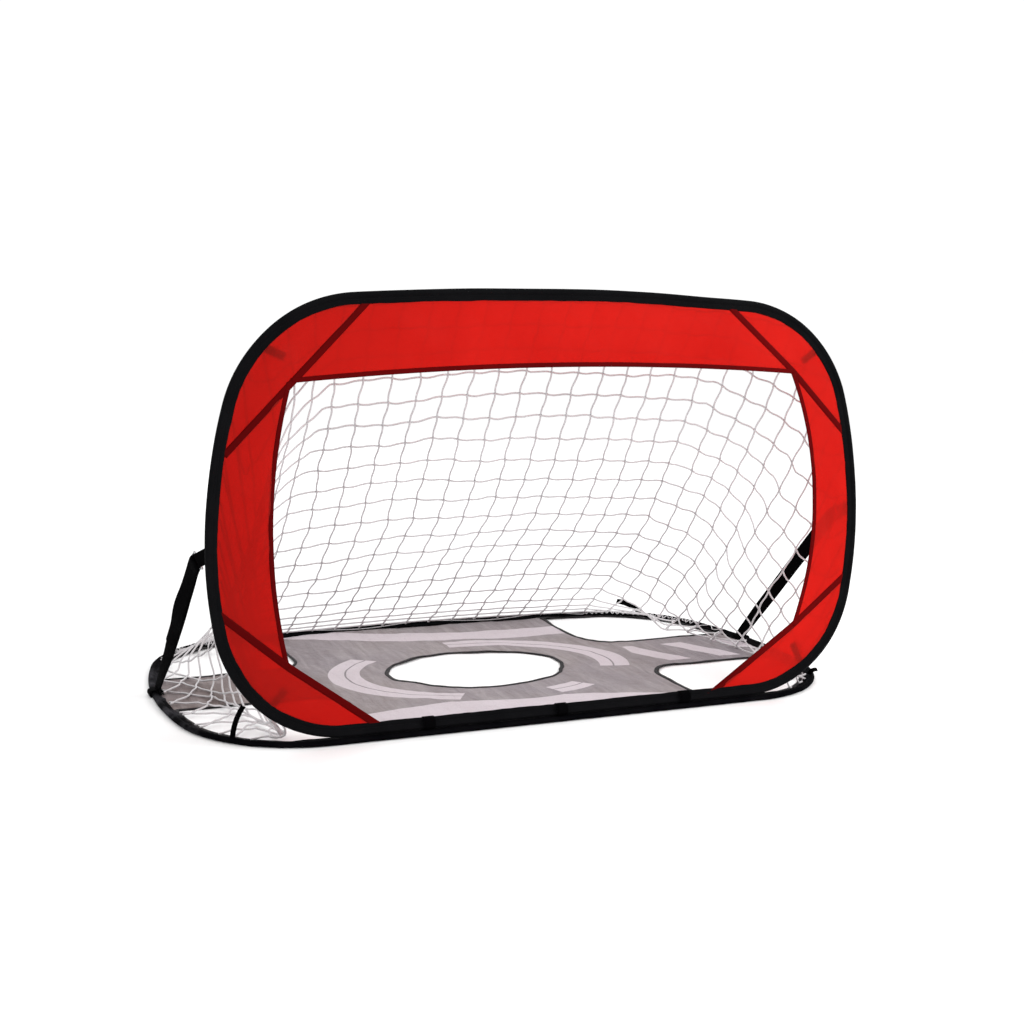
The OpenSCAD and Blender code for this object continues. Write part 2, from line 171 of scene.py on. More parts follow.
def ribbon(name, path, across, w, t, mats, close=False, up=None, taper=None, sect=None):
    """A strip of webbing or tape: path of points, a width direction at each, w wide and t thick."""
    p, a = np.asarray(path, float), np.asarray(across, float)
    n = len(p)
    d = (np.roll(p, -1, 0) - np.roll(p, 1, 0)) if close else np.gradient(p, axis=0)
    d /= np.linalg.norm(d, axis=1)[:, None]
    a = a - d * (a * d).sum(1)[:, None]
    a /= np.linalg.norm(a, axis=1)[:, None]
    u = np.cross(d, a)
    if up is not None:
        u *= np.sign((u * np.asarray(up)).sum(1))[:, None]
    e = t * 0.3
    sect = sect or [(-w / 2, -t / 2 + e), (-w / 2 + e, -t / 2), (-w / 6, -t / 2), (w / 6, -t / 2), (w / 2 - e, -t / 2), (w / 2, -t / 2 + e),
                    (w / 2, t / 2 - e), (w / 2 - e, t / 2), (w / 6, t / 2), (-w / 6, t / 2), (-w / 2 + e, t / 2), (-w / 2, t / 2 - e)]
    m = len(sect)
    wide = np.ones(n) if taper is None else np.asarray(taper, float)
    v = np.concatenate([p[:, None] + a[:, None] * np.array([s[0] for s in sect])[None, :, None] * wide[:, None, None] + u[:, None] * np.array([s[1] for s in sect])[None, :, None]])
    v = v.reshape(-1, 3)
    s = np.concatenate([[0], np.cumsum(np.linalg.norm(np.diff(p, axis=0), axis=1))])
    uv = np.stack([np.repeat(s, m), np.tile([c[0] for c in sect], n)], 1)
    f = [tuple(q) for q in grid_faces(n, m, close, True)]
    if not close:
        f += [tuple(range(m)), tuple(range((n - 1) * m, n * m))[::-1]]
    ob = mesh(name, v, f, uv, True, mats)
    fix_out(ob)
    return ob


def fix_out(ob):
    import bmesh
    b = bmesh.new()
    b.from_mesh(ob.data)
    bmesh.ops.recalc_face_normals(b, faces=b.faces)
    b.to_mesh(ob.data)
    b.free()
    ob.data.update()


def join_data(name, parts, mats):
    """One mesh object from lists of (verts, faces, uvs)."""
    v, f, uv, k = [], [], [], 0
    for a, b, c in parts:
        v.append(a), uv.append(c)
        f += [tuple(int(i) + k for i in q) for q in b]
        k += len(a)
    return mesh(name, np.vstack(v), f, np.vstack(uv), True, mats)


# ------------------------------------------------------------------ materials
class M:
    """Small helper for node materials."""

    def __init__(self, name):
        self.mat = bpy.data.materials.new(name)
        self.mat.use_nodes = True
        self.nt = self.mat.node_tree
        self.b = self.nt.nodes["Principled BSDF"]
        self.out = self.nt.nodes["Material Output"]
        self.tc = self.nt.nodes.new("ShaderNodeTexCoord")

    def n(self, kind, **kw):
        x = self.nt.nodes.new("ShaderNode" + kind)
        for k, v in kw.items():
            setattr(x, k, v)
        return x

    def link(self, a, b):
        self.nt.links.new(a, b)

    def put(self, sock, v):
        if hasattr(v, "is_output") or isinstance(v, bpy.types.NodeSocket):
            self.link(v, sock)
        else:
            sock.default_value = v

    def math(self, op, a, b=0.0, c=0.0, clamp=False):
        x = self.n("Math", operation=op, use_clamp=clamp)
        for s, v in zip(x.inputs, (a, b, c)):
            self.put(s, v)
        return x.outputs[0]

    def mix(self, f, a, b):
        x = self.n("Mix", data_type="RGBA")
        self.put(x.inputs[0], f)
        self.put(x.inputs[6], a)
        self.put(x.inputs[7], b)
        return x.outputs[2]

    def noise(self, scale, detail=3.0, rough=0.5, vec=None, dist=0.0):
        x = self.n("TexNoise")
        x.inputs["Scale"].default_value = scale
        x.inputs["Detail"].default_value = detail
        x.inputs["Roughness"].default_value = rough
        x.inputs["Distortion"].default_value = dist
        self.link(vec or self.tc.outputs["Object"], x.inputs["Vector"])
        return x.outputs["Fac"]

    def sep(self, sock):
        x = self.n("SeparateXYZ")
        self.link(sock, x.inputs[0])
        return x.outputs

    def ramp(self, f, lo, hi, a=0.0, b=1.0):
        x = self.n("MapRange")
        for s, v in zip(x.inputs, (f, lo, hi, a, b)):
            self.put(s, v)
        return x.outputs[0]

    def weave(self, pu, pv):
        """Height of a plain weave with thread pitches pu and pv, in metres, on the UV map."""
        u, v, _ = self.sep(self.tc.outputs["UV"])
        a = self.math("SINE", self.math("MULTIPLY", u, 2 * pi / pu))
        b = self.math("SINE", self.math("MULTIPLY", v, 2 * pi / pv))
        return self.math("MULTIPLY", a, b)

    def bump(self, height, strength, distance, prev=None):
        x = self.n("Bump")
        x.inputs["Strength"].default_value = strength
        x.inputs["Distance"].default_value = distance
        self.link(height, x.inputs["Height"])
        if prev is not None:
            self.link(prev, x.inputs["Normal"])
        return x.outputs["Normal"]


def rgb(r, g, b):
    """sRGB 0 to 255 to a linear colour."""
    return tuple(((c / 255 + 0.055) / 1.055) ** 2.4 if c > 10 else c / 255 / 12.92 for c in (r, g, b)) + (1.0,)


def mat_sleeve(name, base, light, dash, spec=0.12, left_end_sheen=None):
    m = M(name)
    big, fine = m.noise(14, 4, 0.6), m.noise(240, 2)
    col = m.mix(m.ramp(big, 0.35, 0.75), base, light)
    if left_end_sheen is not None:
        # painted highlight: the left end is made lighter grey in patches, for the sheen that light gives it
        x, _, _ = m.sep(m.tc.outputs["Object"])
        sheen_mask = m.math("MULTIPLY", m.ramp(x, -0.555, -0.615, 0.0, 0.6), m.ramp(m.noise(20, 4, 0.6), 0.42, 0.66))
        col = m.mix(sheen_mask, col, left_end_sheen)
    u, v, _ = m.sep(m.tc.outputs["UV"])
    # a line of lock stitches along the hem
    on = m.math("LESS_THAN", m.math("ABSOLUTE", m.math("SUBTRACT", v, 0.0118)), 0.00042)
    step = m.math("GREATER_THAN", m.math("SINE", m.math("MULTIPLY", u, 2 * pi / 0.0042)), -0.35)
    st = m.math("MULTIPLY", on, step)
    col = m.mix(st, col, dash)
    m.link(col, m.b.inputs["Base Color"])
    m.link(m.ramp(fine, 0.2, 0.8, 0.5, 0.72), m.b.inputs["Roughness"])
    m.b.inputs["Specular IOR Level"].default_value = spec
    m.b.inputs["IOR"].default_value = 1.45 if spec > 0.04 else 1.15
    h = m.bump(m.weave(0.0011, 0.0011), 0.6, 0.0002)
    m.link(m.bump(m.math("ADD", m.noise(90, 3), st), 0.35, 0.0009, h), m.b.inputs["Normal"])
    return m.mat


def mat_webbing(name, base, light):
    m = M(name)
    u, v, _ = m.sep(m.tc.outputs["UV"])
    rib = m.math("SINE", m.math("MULTIPLY", m.math("ADD", u, m.math("MULTIPLY", m.math("ABSOLUTE", v), 0.8)), 2 * pi / 0.0024))
    col = m.mix(m.ramp(rib, -1, 1, 0.0, 0.55), base, light)
    col = m.mix(m.ramp(m.noise(35, 4), 0.4, 0.8, 0, 0.5), col, light)
    m.link(col, m.b.inputs["Base Color"])
    m.link(m.ramp(m.noise(180, 2), 0.2, 0.8, 0.55, 0.8), m.b.inputs["Roughness"])
    m.b.inputs["Specular IOR Level"].default_value = 0.03
    m.b.inputs["IOR"].default_value = 1.15
    h = m.bump(rib, 0.7, 0.00035)
    m.link(m.bump(m.weave(0.0016, 0.0012), 0.5, 0.0002, h), m.b.inputs["Normal"])
    return m.mat


def mat_red(name, base, deep, through, tape=False):
    """Thin polyester that lets some light and a little sight through."""
    m = M(name)
    col = m.mix(m.ramp(m.noise(7, 4, 0.55), 0.3, 0.75), base, deep)
    # painted shade: the colour, and the colour seen through the cloth, are darkened towards the left side, which lies
    # in weaker light
    x, _, _ = m.sep(m.tc.outputs["Object"])
    shade = m.ramp(x, -0.15, -0.56)
    col = m.mix(m.math("MULTIPLY", shade, 0.55), col, rgb(70, 0, 1) if tape else rgb(158, 24, 19))
    thin = m.mix(shade, through, tuple(c * 0.78 for c in through[:3]) + (1.0,))
    threads = m.weave(0.0009, 0.0009)
    col = m.mix(m.ramp(m.noise(420, 2), 0.45, 0.7, 0, 0.25), col, deep)
    m.link(col, m.b.inputs["Base Color"])
    m.link(m.ramp(m.noise(160, 2), 0.2, 0.8, 0.42, 0.62), m.b.inputs["Roughness"])
    m.b.inputs["Specular IOR Level"].default_value = 0.03 if tape else 0.10
    h = m.bump(threads, 0.35, 0.00012)
    nrm = m.bump(m.noise(26, 4, 0.55), 0.45, 0.0026, h)
    m.link(nrm, m.b.inputs["Normal"])
    if not tape:
        tr = m.n("BsdfTranslucent")
        m.link(m.mix(0.5, col, through), tr.inputs["Color"])
        m.link(nrm, tr.inputs["Normal"])
        a = m.n("MixShader")
        a.inputs[0].default_value = 0.42
        m.link(m.b.outputs[0], a.inputs[1])
        m.link(tr.outputs[0], a.inputs[2])
        clear = m.n("BsdfTransparent")
        m.link(thin, clear.inputs["Color"])
        c = m.n("MixShader")
        c.inputs[0].default_value = 0.38
        m.link(a.outputs[0], c.inputs[1])
        m.link(clear.outputs[0], c.inputs[2])
        m.link(c.outputs[0], m.out.inputs["Surface"])
    return m.mat


def mat_sheet():
    """Grey polyester with a plain print: a ring round the middle hole, two broad sweeps and slanting bars on the right
    side strip.
    """
    m = M("sheet_cloth")
    base, print_c, line = rgb(146, 137, 139), rgb(203, 192, 198), rgb(106, 99, 101)
    x, y, _ = m.sep(m.tc.outputs["Object"])
    wavy = m.math("MULTIPLY", m.math("SUBTRACT", m.noise(5, 2), 0.5), 0.012)
    y = m.math("ADD", m.math("ADD", y, 0.0075), wavy)
    ex, ey = m.math("DIVIDE", x, 0.300), m.math("DIVIDE", y, 0.205)
    r = m.math("SQRT", m.math("ADD", m.math("MULTIPLY", ex, ex), m.math("MULTIPLY", ey, ey)))
    ring = m.math("MULTIPLY", m.math("GREATER_THAN", r, 0.80), m.math("LESS_THAN", r, 1.0))
    # the ring is broken into four unequal arcs
    turn = m.math("ARCTAN2", ey, ex)
    gaps = m.math("GREATER_THAN", m.math("ADD", m.math("SINE", m.math("ADD", m.math("MULTIPLY", turn, 2.0), 0.7)), m.math("MULTIPLY", m.math("SINE", m.math("ADD", m.math("MULTIPLY", turn, 5.0), 1.1)), 0.8)), -0.35)
    ring = m.math("MULTIPLY", ring, gaps)
    # broad sweeps: two arcs of large circles across the front and the back
    def sweep(cx, cy, r0, r1):
        dx, dy = m.math("SUBTRACT", x, cx), m.math("SUBTRACT", y, cy)
        d = m.math("SQRT", m.math("ADD", m.math("MULTIPLY", dx, dx), m.math("MULTIPLY", dy, dy)))
        return m.math("MULTIPLY", m.math("GREATER_THAN", d, r0), m.math("LESS_THAN", d, r1))
    s1, s2 = sweep(-0.10, -1.13, 0.855, 0.935), sweep(0.22, 1.30, 1.03, 1.095)
    # slanting bars on the right side strip, beside the middle
    k = m.math("FRACT", m.math("DIVIDE", m.math("ADD", x, m.math("MULTIPLY", y, 0.55)), 0.115))
    side = m.math("GREATER_THAN", m.math("ABSOLUTE", x), 0.335)
    bars = m.math("MULTIPLY", m.math("LESS_THAN", k, 0.42), side)
    mid = m.math("LESS_THAN", m.math("ABSOLUTE", y), 0.062)
    bars = m.math("MULTIPLY", m.math("MULTIPLY", bars, mid), m.math("GREATER_THAN", x, 0.0))
    mask = m.math("MAXIMUM", m.math("MAXIMUM", ring, bars), m.math("MULTIPLY", m.math("MAXIMUM", s1, s2), m.math("GREATER_THAN", r, 1.06)))
    edge = m.math("MULTIPLY", m.math("MULTIPLY", m.math("GREATER_THAN", r, 0.885), m.math("LESS_THAN", r, 0.897)), gaps)
    blot = m.ramp(m.noise(9, 5, 0.6), 0.35, 0.75)
    col = m.mix(m.math("MULTIPLY", blot, 0.7), base, rgb(128, 117, 115))
    brown = m.math("MULTIPLY", m.ramp(x, -0.22, -0.50), m.ramp(m.noise(13, 5, 0.65), 0.3, 0.7, 0.5, 1.0))
    col = m.mix(brown, col, rgb(104, 88, 83))
    lie = m.n("Mapping")
    lie.inputs["Scale"].default_value = (52.0, 9.0, 9.0)
    lie.inputs["Rotation"].default_value = (0.0, 0.0, 0.35)
    m.link(m.tc.outputs["Object"], lie.inputs["Vector"])
    pleat = m.noise(1.0, 5, 0.62, lie.outputs["Vector"], 0.6)
    # painted shade and highlight: the colour is darker in the pleats' hollows and lighter on their crests, following
    # the pleat height that the bump also uses
    pleat_crest_light = m.ramp(pleat, 0.5, 0.75, 0, 0.45)
    dark = m.ramp(pleat, 0.47, 0.28, 0, 0.5)
    col = m.mix(dark, col, rgb(108, 96, 95))
    col = m.mix(m.ramp(m.noise(3.2, 3, 0.55), 0.42, 0.68, 0, 0.55), col, rgb(124, 116, 124))
    col = m.mix(pleat_crest_light, col, rgb(176, 168, 168))
    pc = m.mix(m.math("MULTIPLY", blot, 0.5), print_c, rgb(186, 175, 179))
    col = m.mix(m.math("MULTIPLY", mask, 0.94), col, pc)
    col = m.mix(m.math("MULTIPLY", edge, 0.8), col, line)
    col = m.mix(m.ramp(m.noise(500, 2), 0.45, 0.75, 0, 0.2), col, line)
    m.link(col, m.b.inputs["Base Color"])
    m.link(m.ramp(m.noise(120, 2), 0.2, 0.8, 0.5, 0.7), m.b.inputs["Roughness"])
    m.b.inputs["Specular IOR Level"].default_value = 0.15
    h = m.bump(m.weave(0.0009, 0.0009), 0.3, 0.00012)
    m.link(m.bump(m.math("ADD", m.noise(30, 5, 0.6), pleat), 0.8, 0.005, h), m.b.inputs["Normal"])
    return m.mat


def mat_cord():
    m = M("net_cord")
    u, v, _ = m.sep(m.tc.outputs["UV"])
    tw = m.math("SINE", m.math("MULTIPLY", m.math("ADD", m.math("MULTIPLY", u, 1 / 0.0030), v), 2 * pi))
    col = m.mix(m.ramp(tw, -1, 1, 0.0, 0.55), rgb(222, 219, 221), rgb(196, 192, 194))
    col = m.mix(m.ramp(m.noise(6, 3), 0.35, 0.75, 0, 0.5), col, rgb(178, 174, 176))
    m.link(col, m.b.inputs["Base Color"])
    m.link(m.ramp(m.noise(300, 2), 0.2, 0.8, 0.6, 0.85), m.b.inputs["Roughness"])
    m.link(m.bump(tw, 0.6, 0.0003), m.b.inputs["Normal"])
    return m.mat


def mat_steel(name, col, rough):
    m = M(name)
    m.b.inputs["Metallic"].default_value = 1.0
    m.link(m.mix(m.ramp(m.noise(60, 4), 0.3, 0.7), col, tuple(c * 0.8 for c in col[:3]) + (1,)), m.b.inputs["Base Color"])
    m.link(m.ramp(m.noise(200, 3), 0.2, 0.8, rough, rough + 0.18), m.b.inputs["Roughness"])
    m.link(m.bump(m.noise(700, 2), 0.15, 0.0002), m.b.inputs["Normal"])
    return m.mat


SLEEVE = mat_sleeve("black_sleeve", rgb(6, 6, 8), rgb(13, 13, 15), rgb(16, 16, 18), 0.045)
# the last colour is the painted highlight on the ground sleeve's left end
GSLEEVE = mat_sleeve("ground_sleeve_cloth", rgb(4, 4, 6), rgb(15, 14, 16), rgb(12, 12, 14), 0.035, rgb(80, 79, 84))
WEB = mat_webbing("black_webbing", rgb(3, 3, 4), rgb(12, 11, 12))
RED = mat_red("red_cloth", rgb(204, 44, 34), rgb(188, 36, 28), rgb(250, 54, 36))
TAPE = mat_red("dark_red_tape", rgb(96, 0, 1), rgb(78, 0, 1), rgb(150, 10, 10), tape=True)
SHEET = mat_sheet()
BIND = mat_sleeve("dark_binding", rgb(16, 14, 16), rgb(52, 48, 50), rgb(40, 38, 40))
CORD = mat_cord()
WIRE = mat_steel("spring_steel", rgb(170, 172, 176), 0.3)
RING = mat_steel("ring_steel", rgb(205, 206, 208), 0.18)


# ------------------------------------------------------------------ sleeves
def sleeve_profile():
    top = [(0.0, 0.0), (0.0006, 0.0022), (0.0019, 0.0038), (0.0040, 0.0047), (0.0064, 0.0046), (0.0085, 0.0036), (0.0104, 0.0023), (0.0118, 0.0014), (0.0132, 0.0019), (0.0160, 0.0017), (0.0188, 0.0013), (0.0200, 0.0)]
    return top + [(c, -v) for c, v in top[-2:0:-1]]


def make_sleeve(name, w, h, n, ground):
    x, y, nx, ny, s, total, g = loop(w, h, n)
    prof = sleeve_profile()
    V, UV = [], []
    for k in range(n):
        a = 2 * pi * s[k] / total
        ca, sa = cos(a) * total / (2 * pi), sin(a) * total / (2 * pi)
        for c, v in prof:
            hem = max(0.0, (c - 0.008) / 0.012)
            if ground:
                scr = 0.0022 * wob(ca * 55, sa * 55, c * 90) + 0.0012 * wob(ca * 130, sa * 130, 3 + c * 150)
                rag = 0.0036 * wob(ca * 16, sa * 16, 7) + 0.0034 * wob(ca * 48, sa * 48, 9) + 0.0040 * max(0.0, wob(ca * 26, sa * 26, 4) - 0.15)
                cc = c + hem * (rag - 0.0004) + (0.0006 * wob(ca * 30, sa * 30, 2) if c > 0.001 else 0)
                vv = v + scr * (0.25 + 0.9 * hem) - 0.0022 * hem
                z = max(0.0003 + 0.0002 * wob(ca * 60, sa * 60, 1), ST / 2 + vv)
                if v > 0 and 0.002 < c < 0.0175:
                    z += max(0.0, ST - 0.0001 - z) * min(1.0, max(0.0, (-ny[k] - 0.93) / 0.05))
                z = min(z, ST + 0.0001)
                V.append((x[k] - nx[k] * cc, HY - SW / 2 + y[k] - ny[k] * cc, z))
            else:
                scr = 0.0005 * wob(ca * 40, sa * 40, c * 60) + 0.0004 * wob(ca * 120, sa * 120, 3 + c * 150)
                rag = 0.0009 * wob(ca * 20, sa * 20, 7) + 0.0005 * wob(ca * 60, sa * 60, 9)
                cc, vv = c + hem * rag, v + scr * (0.4 + hem) * (1 if abs(v) > 1e-5 else 0)
                cc -= 0.0016 * wob(ca * 7, sa * 7, 12) * min(1.0, max(0.0, y[k] / 0.05))
                V.append(tuple(front3(x[k] - nx[k] * cc, SEAT + y[k] - ny[k] * cc, vv)))
            UV.append((s[k], c))
    f = grid_faces(n, len(prof), True, True)
    ob = mesh(name, V, f, UV, True, [GSLEEVE if ground else SLEEVE])
    fix_out(ob)
    return ob


ground_sleeve = make_sleeve("ground_sleeve_cloth", WG, DG, 1400, True)
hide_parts("ground_sleeve"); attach(ground_sleeve, "ground")
front_sleeve = make_sleeve("front_sleeve_cloth", WF, HF, 1200, False)
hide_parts("front_sleeve"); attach(front_sleeve, "front")

# ------------------------------------------------------------------ panels of the front hoop
TL, TR, BL, BR = np.array([-0.463, 0.575]), np.array([0.453, 0.589]), np.array([-0.471, 0.130]), np.array([0.466, 0.131])
FOOT = {-1: np.array([-0.322, 0.021]), 1: np.array([0.296, 0.020])}
UP_IN = {-1: np.array([-0.340, 0.699]), 1: np.array([0.325, 0.700])}   # top ends of the upper seams
UP_OUT = {-1: np.array([-0.566, 0.466]), 1: np.array([0.568, 0.481])}
LOW_OUT = {-1: np.array([-0.577, 0.219]), 1: np.array([0.577, 0.216])}
INSET = 0.0155                    # cloth runs this far in from the sleeve's outer edge


def bow(p, q, sag, n):
    t = np.linspace(0, 1, n)[:, None]
    d = q - p
    u = np.array([d[1], -d[0]]) / np.linalg.norm(d)
    return p + d * t + u * sag * 4 * t * (1 - t)


def hoop_line(w, h, i, lo, hi, n, side=1):
    """Points in the front plane along the hoop's inner line, between two headings in degrees."""
    g = np.radians(np.linspace(lo, hi, n))
    p = np.array([at(w, h, i, a) for a in g])
    p[:, 0] *= side
    p[:, 1] += SEAT
    return p


def heading_at(p, i):
    """Heading in degrees of the hoop's inner line nearest to a point of the front plane."""
    g = np.linspace(0.5, 180, 1800)
    q = np.array([at(WF, HF, i, math.radians(a)) for a in g]) + [0, SEAT]
    return g[np.argmin(np.hypot(q[:, 0] - abs(p[0]), q[:, 1] - p[1]))]


def resample(p, n):
    s = np.concatenate([[0], np.cumsum(np.linalg.norm(np.diff(p, axis=0), axis=1))])
    t = np.linspace(0, s[-1], n)
    return np.stack([np.interp(t, s, p[:, k]) for k in range(p.shape[1])], 1)


def flutter(x, h):
    """How far the cloth stands off the front plane near the mouth, in metres."""
    return 0.0030 * wob(x * 5.0, h * 5.0, 4.2) + 0.0012 * wob(x * 17, h * 17, 1.2)


def edge_share(x, h):
    """1 at the middle of the mouth's edges, 0 at its corners."""
    c = min(np.hypot(x - k[0], h - k[1]) for k in (TL, TR, BL, BR))
    return min(1.0, c / 0.12) ** 1.5


CREASES = {
    "panel_left": [(-0.585, 0.43, -0.5, 0.12, 0.0022, 0.006), (-0.47, 0.30, 2.6, 0.09, 0.0018, 0.006), (-0.585, 0.30, 0.4, 0.10, 0.0020, 0.006), (-0.50, 0.50, 1.2, 0.10, 0.0020, 0.006)],
    "corner_panel_tl": [(-0.43, 0.665, -2.4, 0.14, 0.0022, 0.007), (-0.50, 0.640, -0.9, 0.06, 0.0018, 0.006)],
    "corner_panel_bl": [(-0.56, 0.15, -0.9, 0.12, 0.0022, 0.007), (-0.42, 0.04, 2.3, 0.10, 0.0020, 0.006)],
}


def panel(name, inner, outer, nv, free, dirs, seed, node):
    """Cloth between an inner and an outer line. free: the inner line is the mouth's edge. dirs: pull wrinkles (x, h, angle, reach)."""
    nu = len(inner)
    V, UV = [], []
    for k in range(nu):
        for j in range(nv):
            v = j / (nv - 1)
            p = inner[k] * (1 - v) + outer[k] * v
            u = k / (nu - 1)
            pin = min(1, u / 0.12) * min(1, (1 - u) / 0.12)
            env = min(1, v / 0.16) * min(1, (1 - v) / 0.25) * pin
            d = env * (0.0022 * wob(p[0] * 9, p[1] * 9, seed) + 0.0011 * wob(p[0] * 26, p[1] * 26, seed + 5) + 0.0005 * wob(p[0] * 70, p[1] * 70, seed + 9))
            if free:
                d += flutter(*p) * edge_share(*p) * (1 - v) ** 1.3
            for cx, ch, ang, reach, amp, wid in dirs + CREASES.get(node, []):
                dx, dh = p[0] - cx, p[1] - ch
                al, ac = dx * cos(ang) + dh * sin(ang), -dx * sin(ang) + dh * cos(ang)
                if 0 < al < reach:
                    d += amp * env * sin(pi * al / reach) * math.exp(-(ac / (wid + 0.12 * al)) ** 2)
            V.append(tuple(front3(p[0], p[1], d)))
            UV.append(p)
    ob = skin(name, V, grid_faces(nu, nv), 0.0006, UV, [RED])
    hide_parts(node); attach(ob, "front")
    return ob


def declare(ob):
    return ob


NT, NS, NC = 200, 100, 60
top_in = bow(TR, TL, 0.018, NT)[::-1]
hL, hR = heading_at(UP_IN[-1], INSET), heading_at(UP_IN[1], INSET)
top_out = resample(np.vstack([hoop_line(WF, HF, INSET, hL, 180, 60, -1), hoop_line(WF, HF, INSET, hR, 180, 60, 1)[::-1]]), NT)
p_top = declare(panel("panel_top_cloth", top_in, top_out, 30, True,
                      [(-0.44, 0.60, 0.35, 0.25, 0.003, 0.012), (0.43, 0.61, pi - 0.3, 0.25, 0.003, 0.012), (-0.1, 0.60, 0.15, 0.3, 0.0016, 0.014), (0.32, 0.69, pi + 0.5, 0.2, 0.0022, 0.01), (-0.33, 0.69, -0.55, 0.2, 0.0022, 0.01)], 1.0, "panel_top"))
side_lines = {}
for s, nm, a, b, sag in ((-1, "left", BL, TL, -0.028), (1, "right", BR, TR, 0.047)):
    inner = bow(a, b, sag, NS)
    g0, g1 = heading_at(LOW_OUT[s], INSET), heading_at(UP_OUT[s], INSET)
    outer = resample(hoop_line(WF, HF, INSET, g0, g1, 80, s), NS)
    side_lines[s] = inner
    w = [(s * 0.50, 0.17, pi / 2 + s * 0.25, 0.22, 0.003, 0.010), (s * 0.52, 0.53, -pi / 2 - s * 0.2, 0.24, 0.003, 0.010), (s * 0.56, 0.36, pi / 2 + s * 1.2, 0.06, -0.002, 0.008), (s * 0.545, 0.22, pi / 2, 0.15, -0.002, 0.007)]
    declare(panel("panel_%s_cloth" % nm, inner, outer, 22, True, w, 3.0 + s, "panel_" + nm))
    # corner panels
    seam = resample(np.array([UP_IN[s], (TL if s < 0 else TR) + [s * 0.002, 0.003], UP_OUT[s]]), NC)
    arc = resample(hoop_line(WF, HF, INSET, heading_at(UP_IN[s], INSET), heading_at(UP_OUT[s], INSET), 80, s), NC)
    c = panel("corner_panel_t%s_cloth" % nm[0], seam, arc, 22, False, [(s * 0.45, 0.60, pi / 2 - s * 0.8, 0.12, 0.0022, 0.009), (s * 0.53, 0.57, pi / 2 + s * 0.4, 0.1, -0.002, 0.008)], 7.0 + s, "corner_panel_t" + nm[0])
    declare(c)
    seam = resample(np.array([LOW_OUT[s], a, FOOT[s]]), NC)
    arc = resample(hoop_line(WF, HF, INSET, heading_at(LOW_OUT[s], INSET), 0.01, 80, s), NC)
    arc = resample(np.vstack([arc, [[FOOT[s][0], SEAT + INSET]]]), NC)
    c = panel("corner_panel_b%s_cloth" % nm[0], seam, arc, 22, False, [(s * 0.47, 0.12, -pi / 2 + s * 0.5, 0.1, 0.0022, 0.009), (s * 0.52, 0.15, -pi / 2 + s * 0.7, 0.1, -0.0018, 0.008)], 11.0 + s, "corner_panel_b" + nm[0])
    declare(c)


# tapes on the seams and bindings round the mouth
def flat_ribbon(name, p, w, t, node, mat, lift=None):
    n = [0.0] * len(p) if lift is None else lift
    path = np.array([front3(a[0], a[1], b) for a, b in zip(p, n)])
    d = np.gradient(p, axis=0)
    across = np.stack([-d[:, 1], 0 * d[:, 0], d[:, 0]], 1)
    ob = ribbon(name, path, across, w, t, [mat])
    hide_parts(node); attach(ob, "front")
    return ob


def smooth_line(pts, n):
    p = resample(np.array(pts, float), n)
    for _ in range(6):
        p[1:-1] = (p[:-2] + p[2:] + 2 * p[1:-1]) / 4
    return p


for s, nm in ((-1, "l"), (1, "r")):
    top, low = (TL, BL) if s < 0 else (TR, BR)
    knee = [0.0012, -0.0012] if s < 0 else [0.002, 0.003]
    a = smooth_line([UP_IN[s] + [-s * 0.002, 0.002], top + knee, UP_OUT[s] + [s * 0.002, -0.0015]], 70)
    flat_ribbon("seam_tape_t%s_cloth" % nm, a, 0.0108, 0.0022, "seam_tape_t" + nm, TAPE)
    a = smooth_line([LOW_OUT[s] + [s * 0.005, 0.004], low, FOOT[s] + [-s * 0.008, -0.005]], 70)
    flat_ribbon("seam_tape_b%s_cloth" % nm, a, 0.0120, 0.0022, "seam_tape_b" + nm, TAPE)
    p = side_lines[s]
    p = p + [s * 0.0026, 0]
    flat_ribbon("mouth_binding_%s_cloth" % ("left" if s < 0 else "right"), p, 0.0078, 0.0025, "mouth_binding_" + ("left" if s < 0 else "right"), TAPE,
                [flutter(*q) * edge_share(*q) for q in side_lines[s]])
p = top_in + [0, 0.0026]
flat_ribbon("mouth_binding_top_cloth", p, 0.0078, 0.0025, "mouth_binding_top", TAPE, [flutter(*q) * edge_share(*q) for q in top_in])


# ------------------------------------------------------------------ target sheet
def oval(a, b, n, wobble=0.0, seed=0.0):
    t = np.linspace(0, 2 * pi, n, endpoint=False)
    k = 1 + wobble * np.array([wob(3 * cos(q), 3 * sin(q), seed) for q in t])
    return np.stack([-0.010 + a * np.cos(t) * k, -0.0085 + b * np.sin(t) * k], 1)


HOLE_IN = {(-1, False): 0.312, (1, False): 0.309, (-1, True): 0.326, (1, True): 0.284}


def corner_hole(sx, back, g, n=160):
    """Edge of a corner hole, g outside the bound edge; y from the middle of the sheet's frame."""
    xin, c, r = HOLE_IN[sx, back] - g, (0.457 - g if back else 0.257 + g), 0.060
    i = 0.0275 - g
    pts = []
    if back:
        # from the side strip up round the hoop's back corner, then down to the inner corner
        hs = np.radians(np.linspace(60, 179, 400))
        hp = np.array([at(WG, DG, i, a) for a in hs]) + [0, -SW / 2]
        hp = hp[(hp[:, 1] > c) & (hp[:, 0] > xin)]
        q = [[hp[0][0], c]] + hp.tolist() + [[xin, hp[-1][1]]]
        inner = [[xin + r - r * sin(b), c + r - r * cos(b)] for b in np.linspace(pi / 2, 0, 16)]
        pts = q + inner
    else:
        hs = np.radians(np.linspace(0.0, 110, 400))
        hp = np.array([at(WG, DG, i, a) for a in hs]) + [0, -SW / 2]
        y0 = i - SW / 2
        hp = hp[hp[:, 1] < c]
        q = [[xin, y0]] + hp.tolist() + [[hp[-1][0], c]]
        inner = [[xin + r - r * sin(b), c - r + r * cos(b)] for b in np.linspace(0, pi / 2, 16)]
        pts = q + inner
    p = np.array(pts)
    p = np.vstack([p, p[:1]])
    p = resample(p, n + 1)[:-1]
    p[:, 0] *= sx
    p[:, 1] += HY
    return p


